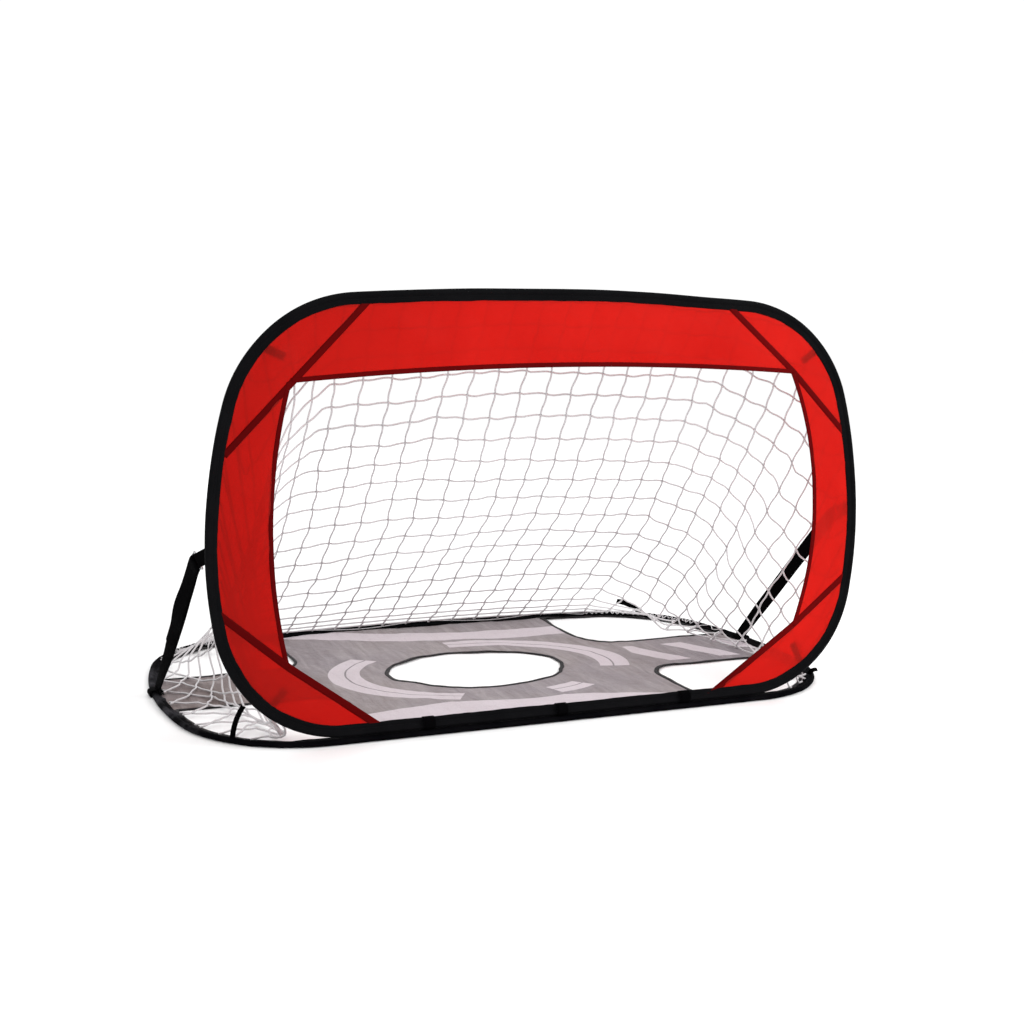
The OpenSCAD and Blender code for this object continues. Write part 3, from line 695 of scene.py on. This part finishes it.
def inside(p, poly):
    x, y = p[:, 0][:, None], p[:, 1][:, None]
    a, b = poly, np.roll(poly, -1, 0)
    c = ((a[:, 1] > y) != (b[:, 1] > y)) & (x < (b[:, 0] - a[:, 0]) * (y - a[:, 1]) / (b[:, 1] - a[:, 1] + 1e-15) + a[:, 0])
    return c.sum(1) % 2 == 1


def ragged(p, amp, seed):
    """A bound hole's edge, pulled a little out of true."""
    c = p.mean(0)
    k = np.array([1 + amp * (wob(q[0] * 9, q[1] * 9, seed) + 0.4 * wob(q[0] * 30, q[1] * 30, seed)) for q in p])
    return c + (p - c) * k[:, None]


holes = {"center_hole_binding": ragged(oval(0.177, 0.125, 220), 0.07, 2.0)}
for sx, a in ((-1, "l"), (1, "r")):
    for back, b in ((False, "f"), (True, "b")):
        holes["hole_binding_" + b + a] = ragged(corner_hole(sx, back, 0.002), 0.03, 5.0 + sx + 3 * back)


def sheet_z(x, y):
    """Height of the sheet: it lies on the floor with low wrinkles."""
    w = 0.0022 * wob(x * 7, y * 9, 0.3) + 0.0016 * wob(x * 19, y * 23, 1.7) + 0.0007 * wob(x * 55, y * 60, 2.9)
    w += 0.0022 * max(0.0, wob(x * 4 + y * 11, y * 3 - x * 2, 6.1))
    w += 0.0018 * max(0.0, sin(46 * (y + 0.35 * x) + 2.2 * wob(x * 3, y * 3, 8.0))) * max(0.0, wob(x * 3.1, y * 3.3, 5.5) + 0.25)
    return 0.0014 + max(0.0, w)


xo, yo, nxo, nyo, so, to_, go = loop(WG, DG, 420)
outer = np.stack([xo - nxo * 0.0165, HY - SW / 2 + yo - nyo * 0.0165], 1)
gx, gy = np.meshgrid(np.arange(-0.62, 0.62, 0.0075), np.arange(-0.37, 0.37, 0.0075))
gp = np.stack([gx.ravel() + 0.00375 * (np.round((gy.ravel() + 0.37) / 0.0075) % 2), gy.ravel()], 1)
keep = inside(gp, outer)
for h in holes.values():
    keep &= ~inside(gp, h)


def near(p, poly, d):
    m = np.zeros(len(p), bool)
    for q in poly[::1]:
        m |= (np.abs(p[:, 0] - q[0]) < d) & (np.abs(p[:, 1] - q[1]) < d)
    return m


keep &= ~near(gp, outer, 0.0035)
for h in holes.values():
    keep &= ~near(gp, h, 0.0035)
pts, edges = [], []
for poly in [outer] + list(holes.values()):
    k = len(pts)
    pts += poly.tolist()
    edges += [(k + i, k + (i + 1) % len(poly)) for i in range(len(poly))]
pts += gp[keep].tolist()
vv, _, tt, *_ = delaunay_2d_cdt([Vector(p) for p in pts], edges, [], 0, 1e-7)
vv = np.array([tuple(v) for v in vv])
tt = np.array([list(t) for t in tt if len(t) == 3])
mid = vv[tt].mean(1)
ok = inside(mid, outer)
for h in holes.values():
    ok &= ~inside(mid, h)
tt = tt[ok]
used, tt = np.unique(tt, return_inverse=True)
vv, tt = vv[used], tt.reshape(-1, 3)
e1, e2 = vv[tt[:, 1]] - vv[tt[:, 0]], vv[tt[:, 2]] - vv[tt[:, 0]]
flip = e1[:, 0] * e2[:, 1] - e1[:, 1] * e2[:, 0] < 0
tt[flip] = tt[flip][:, ::-1]
zz = np.array([sheet_z(*p) for p in vv])
sheet = skin("target_sheet_cloth", np.column_stack([vv, zz]), tt, 0.0007, vv, [SHEET])
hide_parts("target_sheet"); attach(sheet, "ground")

for nm, p in holes.items():
    p = resample(np.vstack([p, p[:1]]), 321)[:-1]
    z = np.array([sheet_z(*q) for q in p]) + 0.0004
    d = np.roll(p, -1, 0) - np.roll(p, 1, 0)
    across = np.stack([-d[:, 1], d[:, 0], 0 * d[:, 0]], 1)
    ob = ribbon(nm + "_cloth", np.column_stack([p, z]), across, 0.0074, 0.0017, [BIND], close=True, taper=[1.0 + 0.5 * wob(q[0] * 17, q[1] * 17, 3.0) for q in p])
    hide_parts(nm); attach(ob, "ground")

# ------------------------------------------------------------------ cloth between the hoops: net, straps, ties
def fold_weights(ob):
    """The piece hangs between the two hoops. This bakes its transform into its mesh and reads its vertex positions; it
    gives the piece no share of the fold.
    """
    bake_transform(ob)
    co = np.zeros(len(ob.data.vertices) * 3)
    ob.data.vertices.foreach_get("co", co)
    co = co.reshape(-1, 3)



def bez(pts, n):
    """Smooth curve through points (Catmull-Rom), n points."""
    p = np.array(pts, float)
    p = np.vstack([2 * p[0] - p[1], p, 2 * p[-1] - p[-2]])
    out = []
    seg = len(p) - 3
    for k in range(seg):
        t = np.linspace(0, 1, 24, endpoint=False)[:, None]
        a, b, c, d = p[k], p[k + 1], p[k + 2], p[k + 3]
        out.append(0.5 * ((2 * b) + (c - a) * t + (2 * a - 5 * b + 4 * c - d) * t ** 2 + (3 * b - a - 3 * c + d) * t ** 3))
    out.append(p[-2][None])
    return resample(np.vstack(out), n)


# net: a square mesh laid on the skin between the hoops
GN = 640
heads = np.radians(np.linspace(20, 340, GN))
gq = np.where(heads > pi, 2 * pi - heads, heads)
sg = np.where(heads > pi, -1.0, 1.0)
side_in = np.sin(gq) ** 4
Fp = np.array([at(WF, HF, 0.013 + 0.010 * a, g) * [s, 1] + [0, SEAT] for g, s, a in zip(gq, sg, side_in)])
F3 = front3(Fp[:, 0], Fp[:, 1], -0.0045)
Gp = np.array([at(WG, DG, 0.014 + 0.006 * a, g) * [s, 1] for g, s, a in zip(gq, sg, side_in)])
G3 = np.column_stack([Gp[:, 0], Gp[:, 1] + HY - SW / 2, np.full(GN, ST - 0.0005)])
prof = np.column_stack([Fp[:, 0], Fp[:, 1] / math.sqrt(2)])
U = np.concatenate([[0], np.cumsum(np.linalg.norm(np.diff(prof, axis=0), axis=1))])
U -= U[-1] / 2
L = np.linalg.norm(G3 - F3, axis=1)
OUT = np.column_stack([np.sin(heads), -np.cos(heads), -np.cos(heads)])
OUT /= np.linalg.norm(OUT, axis=1)[:, None]


def net_point(u, s):
    """Point of the hanging net at profile length u and share s of the way from the front hoop to the ground."""
    def at_u(a):
        return np.array([np.interp(u, U, a[:, k]) for k in range(3)])
    f, gnd, o = at_u(F3), at_u(G3), at_u(OUT)
    l, h = float(np.interp(u, U, L)), float(np.interp(u, U, heads))
    back = ((1 - cos(h)) / 2) ** 2
    side = sin(h) ** 4
    right = max(0.0, sin(h))
    # pulled tight, the cords cut the hoops' upper corners by a chord
    turn, half_turn, chord = abs(min(h, 2 * pi - h) - math.radians(146)), math.radians(28), 0.0
    if turn < half_turn:
        chord = 0.222 * (1 - cos(half_turn) / cos(turn)) * min(1.0, s / 0.08) * min(1.0, (1 - s) / 0.25)
    # towards the back the mesh is let down: its last rows are crowded at the ground hoop
    g = 1.05 * s + 0.09 * s * s
    g = g if g < 0.88 else 1 - 0.12 * math.exp(-(g - 0.88) / 0.12)
    s = s + (g + 0.0137 * s ** 12 - s) * back
    bag = 4 * s * (1 - s)
    p = f + (gnd - f) * s
    # the sides hang low, inwards and down, below the front hoop's lower corners too
    low = (1.0 if h > pi else 0.3) * math.exp(-((min(h, 2 * pi - h) - 1.2) / 0.62) ** 2)
    full = 1 - (2 * s - 1) ** 4
    sag = (0.022 * back + (0.020 if h > pi else 0.032) * side) * bag + 0.060 * low * full + chord
    # slack that gathers low down towards the ground hoop, most at the back right corner
    slack = 0.012 * back + 0.012 * side + 0.055 * math.exp(-((h - 1.95) / 0.36) ** 2) * s
    sag += slack * bag * s * 1.2
    wv = 0.010 * wob(u * 4.3, s * 3.1, 2.0) + 0.005 * wob(u * 11, s * 9, 5.0)
    p = p - o * (sag + wv * min(1.0, 6 * s * (1 - s)))
    p[2] -= 0.004 * back * bag + (0.05 * side + 0.11 * low) * full
    if h > pi:
        # the left side has slid down to the ground
        drop = math.exp(-((2 * pi - h - 1.36) / 0.74) ** 2) * (1 - math.exp(-s / 0.08))
        p[2] *= 1 - 0.88 * drop
        p[0] += 0.060 * drop * (1 - s)
    else:
        # a band of loose net lies inside the right back corner
        loose = 0.060 * math.exp(-((h - 2.15) / 0.5) ** 2) * math.exp(-((s - 0.9) / 0.085) ** 2) * (0.7 + 0.9 * wob(u * 9, s * 14, 3.3))
        p -= np.array([o[0], o[1], 0.6 * o[2]]) * loose
    floor = 0.0062 + 0.004 * max(0.0, wob(u * 30, s * 30, 8))
    if p[2] < floor + 0.004:
        p[2] = floor + 0.004 * math.exp(min(0.0, (p[2] - floor - 0.004) / 0.004))
    return p


CELL = 0.0490
parts, knots = [], []


def tube(path, r, sides=5, phase=0.0):
    p = np.asarray(path, float)
    d = np.gradient(p, axis=0)
    d /= np.maximum(np.linalg.norm(d, axis=1), 1e-9)[:, None]
    a = np.cross(d, np.array([0.31, 0.52, 0.79]))
    a /= np.maximum(np.linalg.norm(a, axis=1), 1e-9)[:, None]
    b = np.cross(d, a)
    t = np.arange(sides) * 2 * pi / sides
    v = (p[:, None] + r * (a[:, None] * np.cos(t)[None, :, None] + b[:, None] * np.sin(t)[None, :, None])).reshape(-1, 3)
    s = np.concatenate([[0], np.cumsum(np.linalg.norm(np.diff(p, axis=0), axis=1))])
    uv = np.column_stack([np.repeat(s, sides), np.tile(np.arange(sides) / sides, len(p))])
    f = [tuple(q) for q in grid_faces(len(p), sides, False, True)]
    f += [tuple(range(sides))[::-1], tuple(range((len(p) - 1) * sides, len(p) * sides))]
    return v, f, uv


def strand(ends, k0, k1, salt):
    """The two end points of one cord between two knots, returned as they are."""
    a, b = ends
    return a, b


us = np.arange(-math.floor(U[-1] / CELL), math.floor(U[-1] / CELL) + 1) * CELL - 0.0238
vmax = L.max() / 2
vs = (np.arange(-math.floor(vmax / CELL) - 1, math.floor(vmax / CELL) + 2) + 0.24) * CELL


def shift(i, j):
    """A knot's small shift from the even mesh, in u and v."""
    return 0.0040 * wob(i * 0.71 + 0.3, j * 0.83, 1.0) + 0.0006 * (-1) ** (i + j), 0.0042 * wob(i * 0.67, j * 0.91 + 0.5, 7.0)


def uv_of(i, j):
    du, dv = shift(i, j)
    # the mesh hangs a little askew: its upper columns slant, its rows arch
    return us[i] + du - 0.115 * min(vs[j], 0.0), vs[j] + dv + 0.10 * min(abs(us[i]), 0.6) ** 2


def to3(u, v):
    u = min(max(u, U[0]), U[-1])
    l = float(np.interp(u, U, L))
    return net_point(u, min(max(0.5 + v / l, 0.0), 1.0)), 0.5 + v / l


def run(a, b, amp, wave):
    """Cord from (u, v) a to b, cut where it leaves the net's edges. Returns points or None."""
    n = 7
    t = np.linspace(0, 1, n)
    uv = np.array([[a[0] + (b[0] - a[0]) * q, a[1] + (b[1] - a[1]) * q] for q in t])
    d = np.array([b[0] - a[0], b[1] - a[1]])
    perp = np.array([-d[1], d[0]]) / max(np.hypot(*d), 1e-9)
    uv += perp * (amp * np.sin(pi * t) + wave * np.sin(2 * pi * t))[:, None]
    s = np.array([0.5 + q[1] / float(np.interp(q[0], U, L)) for q in uv])
    inn = (s > 0) & (s < 1) & (uv[:, 0] > U[0]) & (uv[:, 0] < U[-1])
    if not inn.any():
        return None
    if not inn.all():
        # trim to the edge by bisecting along the cord
        k = np.flatnonzero(inn)
        lo, hi = k[0], k[-1]
        q = list(uv[lo:hi + 1])
        for end, other in ((lo, lo - 1), (hi, hi + 1)):
            if 0 <= other < n:
                x, y = uv[end].copy(), uv[other].copy()
                for _ in range(18):
                    m = (x + y) / 2
                    sm = 0.5 + m[1] / float(np.interp(m[0], U, L))
                    if 0 < sm < 1 and U[0] < m[0] < U[-1]:
                        x = m
                    else:
                        y = m
                q = [x] + q if end == lo and other < lo else q + [x]
        uv = np.array(q)
        if len(uv) < 2 or np.hypot(*(uv[-1] - uv[0])) < 0.003:
            return None
    return np.array([to3(*q)[0] for q in uv])


CORD_R = 0.00175
for i in range(len(us)):
    for j in range(len(vs)):
        a = uv_of(i, j)
        if i + 1 < len(us):
            q = run(a, uv_of(i + 1, j), 0.0022 * wob(i * 1.3, j * 1.7, 3.0) + 0.0012, -0.0016)
            if q is not None:
                parts.append(tube(q, CORD_R))
        if j + 1 < len(vs):
            q = run(a, uv_of(i, j + 1), 0.0024 * wob(i * 1.9, j * 1.1, 4.0) - 0.0004, 0.0012)
            if q is not None:
                parts.append(tube(q, CORD_R))
        p, s = to3(*a)
        if 0.004 < s < 0.996 and U[0] < a[0] < U[-1]:
            knots.append((p, i, j))
# knots: small twisted lumps
ico = bpy.data.meshes.new("tmp_ico")
import bmesh
bm = bmesh.new()
bmesh.ops.create_icosphere(bm, subdivisions=1, radius=1.0)
ico_v = np.array([v.co[:] for v in bm.verts])
ico_f = [tuple(v.index for v in f.verts) for f in bm.faces]
bm.free()
bpy.data.meshes.remove(ico)
for p, i, j in knots:
    a = i * 2.1 + j * 1.7
    rot = np.array(Matrix.Rotation(a, 3, "Z") @ Matrix.Rotation(0.8 + 0.5 * sin(a), 3, "X"))
    v = (ico_v * [0.0027, 0.0020, 0.0022]) @ rot.T + p
    parts.append((v, ico_f, np.column_stack([ico_v[:, 0] * 0.002, ico_v[:, 1]])))
lace = []
for k, h in enumerate(np.radians(np.linspace(100, 246, 96))):
    q, sd = (2 * pi - h, -1.0) if h > pi else (h, 1.0)
    far = k % 2 == 1
    g = at(WG, DG, (0.0185 + 0.0080 * wob(k * 0.37, 1.0, 2.0)) if far else 0.0085 + 0.006 * wob(k * 0.61, 3.0), q + 0.016 * wob(k * 0.9, 4.0))
    lace.append((sd * g[0], HY - SW / 2 + g[1], 0.0062 if far else ST + 0.0008))
lace = bez(lace, 520)
lace[:, 2] = np.maximum(lace[:, 2], 0.0045)
parts.append(tube(lace, 0.0010))
net = join_data("net_mesh", parts, [CORD])
fix_out(net)
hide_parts("net")
fold_weights(net)

# side straps: webbing from the ring down to the ground hoop, with a doubled upper part
def unit(v):
    return np.asarray(v, float) / np.linalg.norm(v)


def square_to(v, a):
    """The part of v square to the unit vector a, as a unit vector."""
    return unit(v - (v @ a) * a)


BAR = unit([0.36, -0.30, -0.88])           # along each ring's straight bar
RC = {-1: front3(-0.604, 0.304, -0.027), 1: front3(0.582, 0.334, -0.027)}
ROOT = {-1: front3(-0.594, 0.314, -0.005), 1: front3(0.590, 0.341, -0.005)}
FOOT3 = {-1: np.array([-0.6125, HY + 0.365, ST + 0.0012]), 1: np.array([0.6125, HY + 0.400, ST + 0.0012])}
TWIST = {-1: ([0.12, 0.30, 0.55, 0.70, 0.85, 1.0], [58, 52, 54, 68, 80, 90]), 1: ([0.20, 0.60, 0.85, 1.0], [54, 58, 78, 90])}


def banded(name, cen, half, off, bulge, t, node):
    """Webbing through stations: centre, half-width vector, face direction and how far the section follows the ring's bow."""
    cs = np.array([(-1, -0.6), (-0.985, -1), (-0.5, -1), (0, -1), (0.5, -1), (0.985, -1), (1, -0.6), (1, 0.6), (0.985, 1), (0.5, 1), (0, 1), (-0.5, 1), (-0.985, 1), (-1, 0.6)])
    V, UV, dist = [], [], 0.0
    for k in range(len(cen)):
        dist += 0.0 if k == 0 else float(np.linalg.norm(cen[k] - cen[k - 1]))
        hw = np.linalg.norm(half[k])
        for c, e in cs:
            drop = RING_R - math.sqrt(max(RING_R ** 2 - (min(abs(c) * hw, 0.0128)) ** 2, 0.0))
            V.append(cen[k] + half[k] * c + off[k] * (e * t / 2) - bulge[k] * drop)
            UV.append((dist, c * hw))
    m = len(cs)
    f = [tuple(q) for q in grid_faces(len(cen), m, False, True)] + [tuple(range(m)), tuple(range((len(cen) - 1) * m, len(cen) * m))[::-1]]
    return np.array(V), f, np.array(UV)


RING_R = 0.0145
for s, nm in ((-1, "left"), (1, "right")):
    c0, foot3 = RC[s], FOOT3[s]
    bow_u = square_to(foot3 - c0, BAR)
    top = c0 + bow_u * 0.0174
    q = foot3 - top
    u = unit(q)
    ax = square_to(np.array([1.0, 0, 0]), u)
    av = np.cross(u, ax)
    a0 = math.degrees(math.atan2(BAR @ av, BAR @ ax))
    fs, th = [0.0] + TWIST[s][0], [a0] + TWIST[s][1]
    b = float(BAR @ u)
    near_side = -s                            # the doubled end lies on this face

    def half_at(f, w):
        a = math.radians(float(np.interp(f, fs, th)))
        k = float(np.interp(f, [0, 0.12, 0.9, 1], [b / math.sqrt(1 - b * b), 0, 0, -av[2] / u[2]]))
        return w * (cos(a) * ax + sin(a) * av + u * k)

    def face_at(f):
        return unit(np.cross(u, half_at(f, 1.0)))

    wire = c0 + bow_u * RING_R
    face0 = unit(np.cross(bow_u, BAR))
    if face0 @ face_at(0.01) < 0:
        face0 = -face0
    hb = BAR * 0.0122 * (1 if BAR @ half_at(0.0, 1.0) > 0 else -1)
    # main run: up from the foot, round the ring's bow from the far face to the near face
    cen, half, off, bul = [], [], [], []
    for f in np.linspace(1.0, 0.022, 110):
        sagf = -0.0022 * 4 * f * (1 - f) - 0.0020 * math.exp(-f / 0.05)
        cen.append(top + q * f + face_at(f) * near_side * sagf + 0.0012 * wob(f * 4, s * 3.0, 1.0) * ax * min(1, 8 * f * (1 - f)))
        half.append(half_at(f, 0.0123)); off.append(face_at(f)); bul.append(bow_u * 0.9 * math.exp(-f / 0.03))
    for a in np.radians(np.linspace(-70, 88, 22)):
        cen.append(wire - bow_u * cos(a) * 0.0025 + face0 * near_side * sin(a) * 0.0025)
        half.append(hb); off.append(unit(-bow_u * cos(a) + face0 * near_side * sin(a))); bul.append(bow_u)
    off = [o if k == 0 else (o if o @ off[k - 1] > -9 else o) for k, o in enumerate(off)]
    for k in range(1, len(off)):
        if off[k] @ off[k - 1] < 0:
            off[k] = -off[k]
    bits = [banded("strap", cen, half, off, bul, 0.0014, "")]
    # its lower end goes round the ground sleeve
    ring = [(0.0112 * cos(a) * (abs(cos(a)) ** -0.35 if abs(cos(a)) > 0.2 else 1.0), 0.0060 * sin(a)) for a in np.radians(np.linspace(0, 360, 48, endpoint=False))]
    band = np.array([(s * 0.615 + 0.0122 * np.sign(cos(a)) * abs(cos(a)) ** 0.6, foot3[1], max(0.0011, 0.0054 + 0.0058 * np.sign(sin(a)) * abs(sin(a)) ** 0.7)) for a in np.radians(np.linspace(0, 360, 56, endpoint=False))])
    bo = ribbon("tmp_band", band, np.tile([0.0, 1.0, 0.0], (56, 1)), 0.0250, 0.0013, [], close=True)
    bv = np.array([v.co[:] for v in bo.data.vertices])
    bf = [tuple(p.vertices) for p in bo.data.polygons]
    bits.append((bv, bf, np.column_stack([np.arange(len(bv)) // 12 * 0.0012, np.tile(np.linspace(-0.0125, 0.0125, 12), len(bv) // 12)])))
    bpy.data.objects.remove(bo)
    ob = join_data("strap_%s_web" % nm, bits, [WEB])
    fix_out(ob)
    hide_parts("strap_" + nm)
    fold_weights(ob)
    # doubled end, down the near face to its sewn tip
    cen, half, off, bul = [], [], [], []
    cen.append(wire + face0 * near_side * 0.0025 + bow_u * 0.0002); half.append(hb); off.append(face0); bul.append(bow_u)
    for f in np.linspace(0.012, 0.615, 80):
        gap = 0.0017 + 0.0016 * math.exp(-f / 0.03) + 0.0034 * math.exp(-((f - 0.34) / 0.12) ** 2)
        cen.append(top + q * f + face_at(f) * near_side * (gap - 0.0022 * 4 * f * (1 - f)) + 0.0016 * wob(f * 5, s * 2.0, 6.0) * ax)
        half.append(half_at(f, 0.0120)); off.append(face_at(f)); bul.append(bow_u * 0.9 * math.exp(-f / 0.03))
    for k in range(1, len(off)):
        if off[k] @ off[k - 1] < 0:
            off[k] = -off[k]
    ob = join_data("strap_tail_%s_web" % nm, [banded("tail", cen, half, off, bul, 0.0014, "")], [WEB])
    fix_out(ob)
    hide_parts("strap_tail_" + nm)
    fold_weights(ob)
    # tab: folded round the ring's bar, sewn to the back of the sleeve
    tn = square_to(ROOT[s] - c0, BAR)
    tz = np.cross(BAR, tn)
    reach = float((ROOT[s] - c0) @ tn)
    line = [(reach + 0.0004, -0.0011), (reach - 0.004, -0.0012), (0.010, -0.0014), (0.005, -0.0019)]
    line += [(0.0026 * cos(a), 0.0026 * sin(a)) for a in np.radians(np.linspace(-60, -300, 18))]
    line += [(0.005, 0.0019), (0.010, 0.0014), (reach - 0.004, 0.0012), (reach + 0.0004, 0.0011)]
    path = bez([c0 + tn * x + tz * y for x, y in line], 110)
    # the sewn end lies against the sleeve
    ob = ribbon("ring_tab_%s_web" % nm, path, np.tile(BAR, (110, 1)), 0.0225, 0.0013, [WEB])
    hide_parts("ring_tab_" + nm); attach(ob, "front")


# narrow ties
def tie(name, pts, across, node, body, w=0.013, t=0.0014):
    path = bez(pts, 40)
    ob = ribbon(name, path, np.tile(across, (40, 1)), w, t, [WEB])
    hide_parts(node)
    if body == "fold":
        fold_weights(ob)
    else:
        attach(ob, body)
    return ob


def G(x, y, z):
    return (x, HY + y, z)


def ground_tie(key, x, y, turn, tilt, l, w, curl, roll):
    """A tie standing off the ground sleeve: base point, turn, tilt and length in degrees and metres."""
    r = np.array(Matrix.Rotation(math.radians(turn), 3, "Z") @ Matrix.Rotation(math.radians(tilt), 3, "X"))
    o = np.array([x, HY + y, ST + 0.0015])
    pts = [o + r @ np.array([0, curl * 4 * t * (1 - t), 0.0012 + l * t]) for t in np.linspace(0, 1, 6)]
    first = pts[0] + (pts[0] - pts[1]) * 0.2
    first[2] = ST - 0.0015
    tie("ground_tie_%s_web" % key, [first] + pts, tuple(r @ np.array([cos(math.radians(roll)), sin(math.radians(roll)), 0])), "ground_tie_" + key, "fold", w)


ground_tie("fl", -0.549, 0.059, 60, 19.5, 0.052, 0.0088, 0.003, -60)
ground_tie("fr", 0.572, 0.092, 20, 60, 0.018, 0.008, 0.002, -65)
ground_tie("bl", -0.5098, 0.6469, -125, -84, 0.060, 0.0120, 0.0, 0)
ground_tie("br", 0.509, 0.6526, -137.8, 72, 0.058, 0.0120, 0.005, -54)


def Fr(x, h, n):
    return tuple(front3(x, h, n))


def front_tie(key, s, g, turn, l):
    """A tie behind a corner panel, from the sleeve's inner edge inwards, at a heading of the outline."""
    a, b = math.radians(g), math.radians(g + turn)
    p0 = at(WF, HF, 0.0200, a) + [0, SEAT]
    d = np.array([-sin(b), cos(b)])
    pts = [Fr(s * (p0[0] + d[0] * l * t), p0[1] + d[1] * l * t, -0.0012 - 0.0004 * sin(pi * t)) for t in (0, 0.25, 0.5, 0.75, 1.0)]
    tie("front_tie_%s_web" % key, pts, tuple(front3(s * d[1], -d[0] + HZ, 0.0) - front3(0.0, HZ, 0.0)), "front_tie_" + key, "front", 0.0130)


front_tie("tl", -1, 133, -19, 0.031)
front_tie("tr", 1, 133, -10, 0.031)
front_tie("bl", -1, 39, 4, 0.031)
front_tie("br", 1, 34, -8, 0.039)

# webbing loops round the front hoop's lower run
for nm, x in (("left", -0.240), ("mid", 0.0), ("right", 0.240)):
    a = np.radians(np.linspace(0, 360, 64, endpoint=False))
    rr = 0.0104
    path = np.column_stack([np.full(64, x), HY + rr * np.sin(a), HZ - rr * np.cos(a)])
    low = path[:, 2] < ST + 0.002
    path[low, 2] = np.maximum(path[low, 2], ST - 0.0005)
    ob = ribbon("hinge_loop_%s_web" % nm, path, np.tile([1.0, 0, 0], (64, 1)), 0.019, 0.0008, [WEB], close=True)
    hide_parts("hinge_loop_" + nm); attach(ob, "ground")

# CAD nodes that stay: wires, ferrules and rings
for nm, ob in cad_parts.items():
    if nm.startswith("d_ring"):
        mt = RING
    elif "wire" in nm:
        mt = WIRE
    else:
        continue
    ob.data.materials.clear()
    ob.data.materials.append(mt)

# ------------------------------------------------------------------ floor, light, camera
fl = mesh("floor", [(-14, -9, 0), (14, -9, 0), (14, 14, 0), (-14, 14, 0)], [(0, 1, 2, 3)], smooth=False)
fm = M("floor_white")
fm.link(fm.mix(fm.ramp(fm.noise(3, 3), 0.3, 0.7), (0.95, 0.95, 0.95, 1), (0.965, 0.965, 0.965, 1)), fm.b.inputs["Base Color"])
fm.b.inputs["Roughness"].default_value = 0.9
fm.b.inputs["Specular IOR Level"].default_value = 0.1
fl.data.materials.append(fm.mat)
fl.location.z = -0.0004

w = bpy.data.worlds.new("studio")
bpy.context.scene.world = w
w.use_nodes = True
w.node_tree.nodes["Background"].inputs[0].default_value = (1, 1, 1, 1)
w.node_tree.nodes["Background"].inputs[1].default_value = 1.06
bpy.context.scene.view_settings.view_transform = "Standard"


def area_light(name, loc, to, size, power):
    d = bpy.data.lights.new(name, "AREA")
    d.shape, d.size, d.energy = "SQUARE", size, power
    o = bpy.data.objects.new(name, d)
    bpy.context.scene.collection.objects.link(o)
    o.location = loc
    o.rotation_euler = (Vector(to) - Vector(loc)).to_track_quat("-Z", "Y").to_euler()


area_light("key", (1.6, -1.9, 1.8), (0.2, -0.2, 0.35), 1.2, 30)
area_light("fill", (-2.6, -1.2, 2.2), (0, 0, 0.3), 2.4, 3)
area_light("back", (0.6, 3.2, 2.2), (0, 0, 0.3), 2.6, 30)

cam = bpy.data.cameras.new("camera")
co = bpy.data.objects.new("camera", cam)
bpy.context.scene.collection.objects.link(co)
yaw, pitch, roll, f_px = 0.41624, -0.155824, 0.026301, 1457.467
fw = Vector((sin(yaw) * cos(pitch), cos(yaw) * cos(pitch), sin(pitch)))
rt = fw.cross(Vector((0, 0, 1))).normalized()
up = rt.cross(fw)
r2 = rt * cos(roll) + up * sin(roll)
u2 = -rt * sin(roll) + up * cos(roll)
co.matrix_world = Matrix((
    (r2.x, u2.x, -fw.x, -1.0530), (r2.y, u2.y, -fw.y, -2.15545 + HY), (r2.z, u2.z, -fw.z, 0.73367), (0, 0, 0, 1)))
cam.sensor_width, cam.sensor_fit = 36.0, "HORIZONTAL"
cam.lens = f_px / 1024 * 36.0
cam.clip_start, cam.clip_end = 0.05, 60
bpy.context.scene.camera = co

bpy.context.view_layer.update()
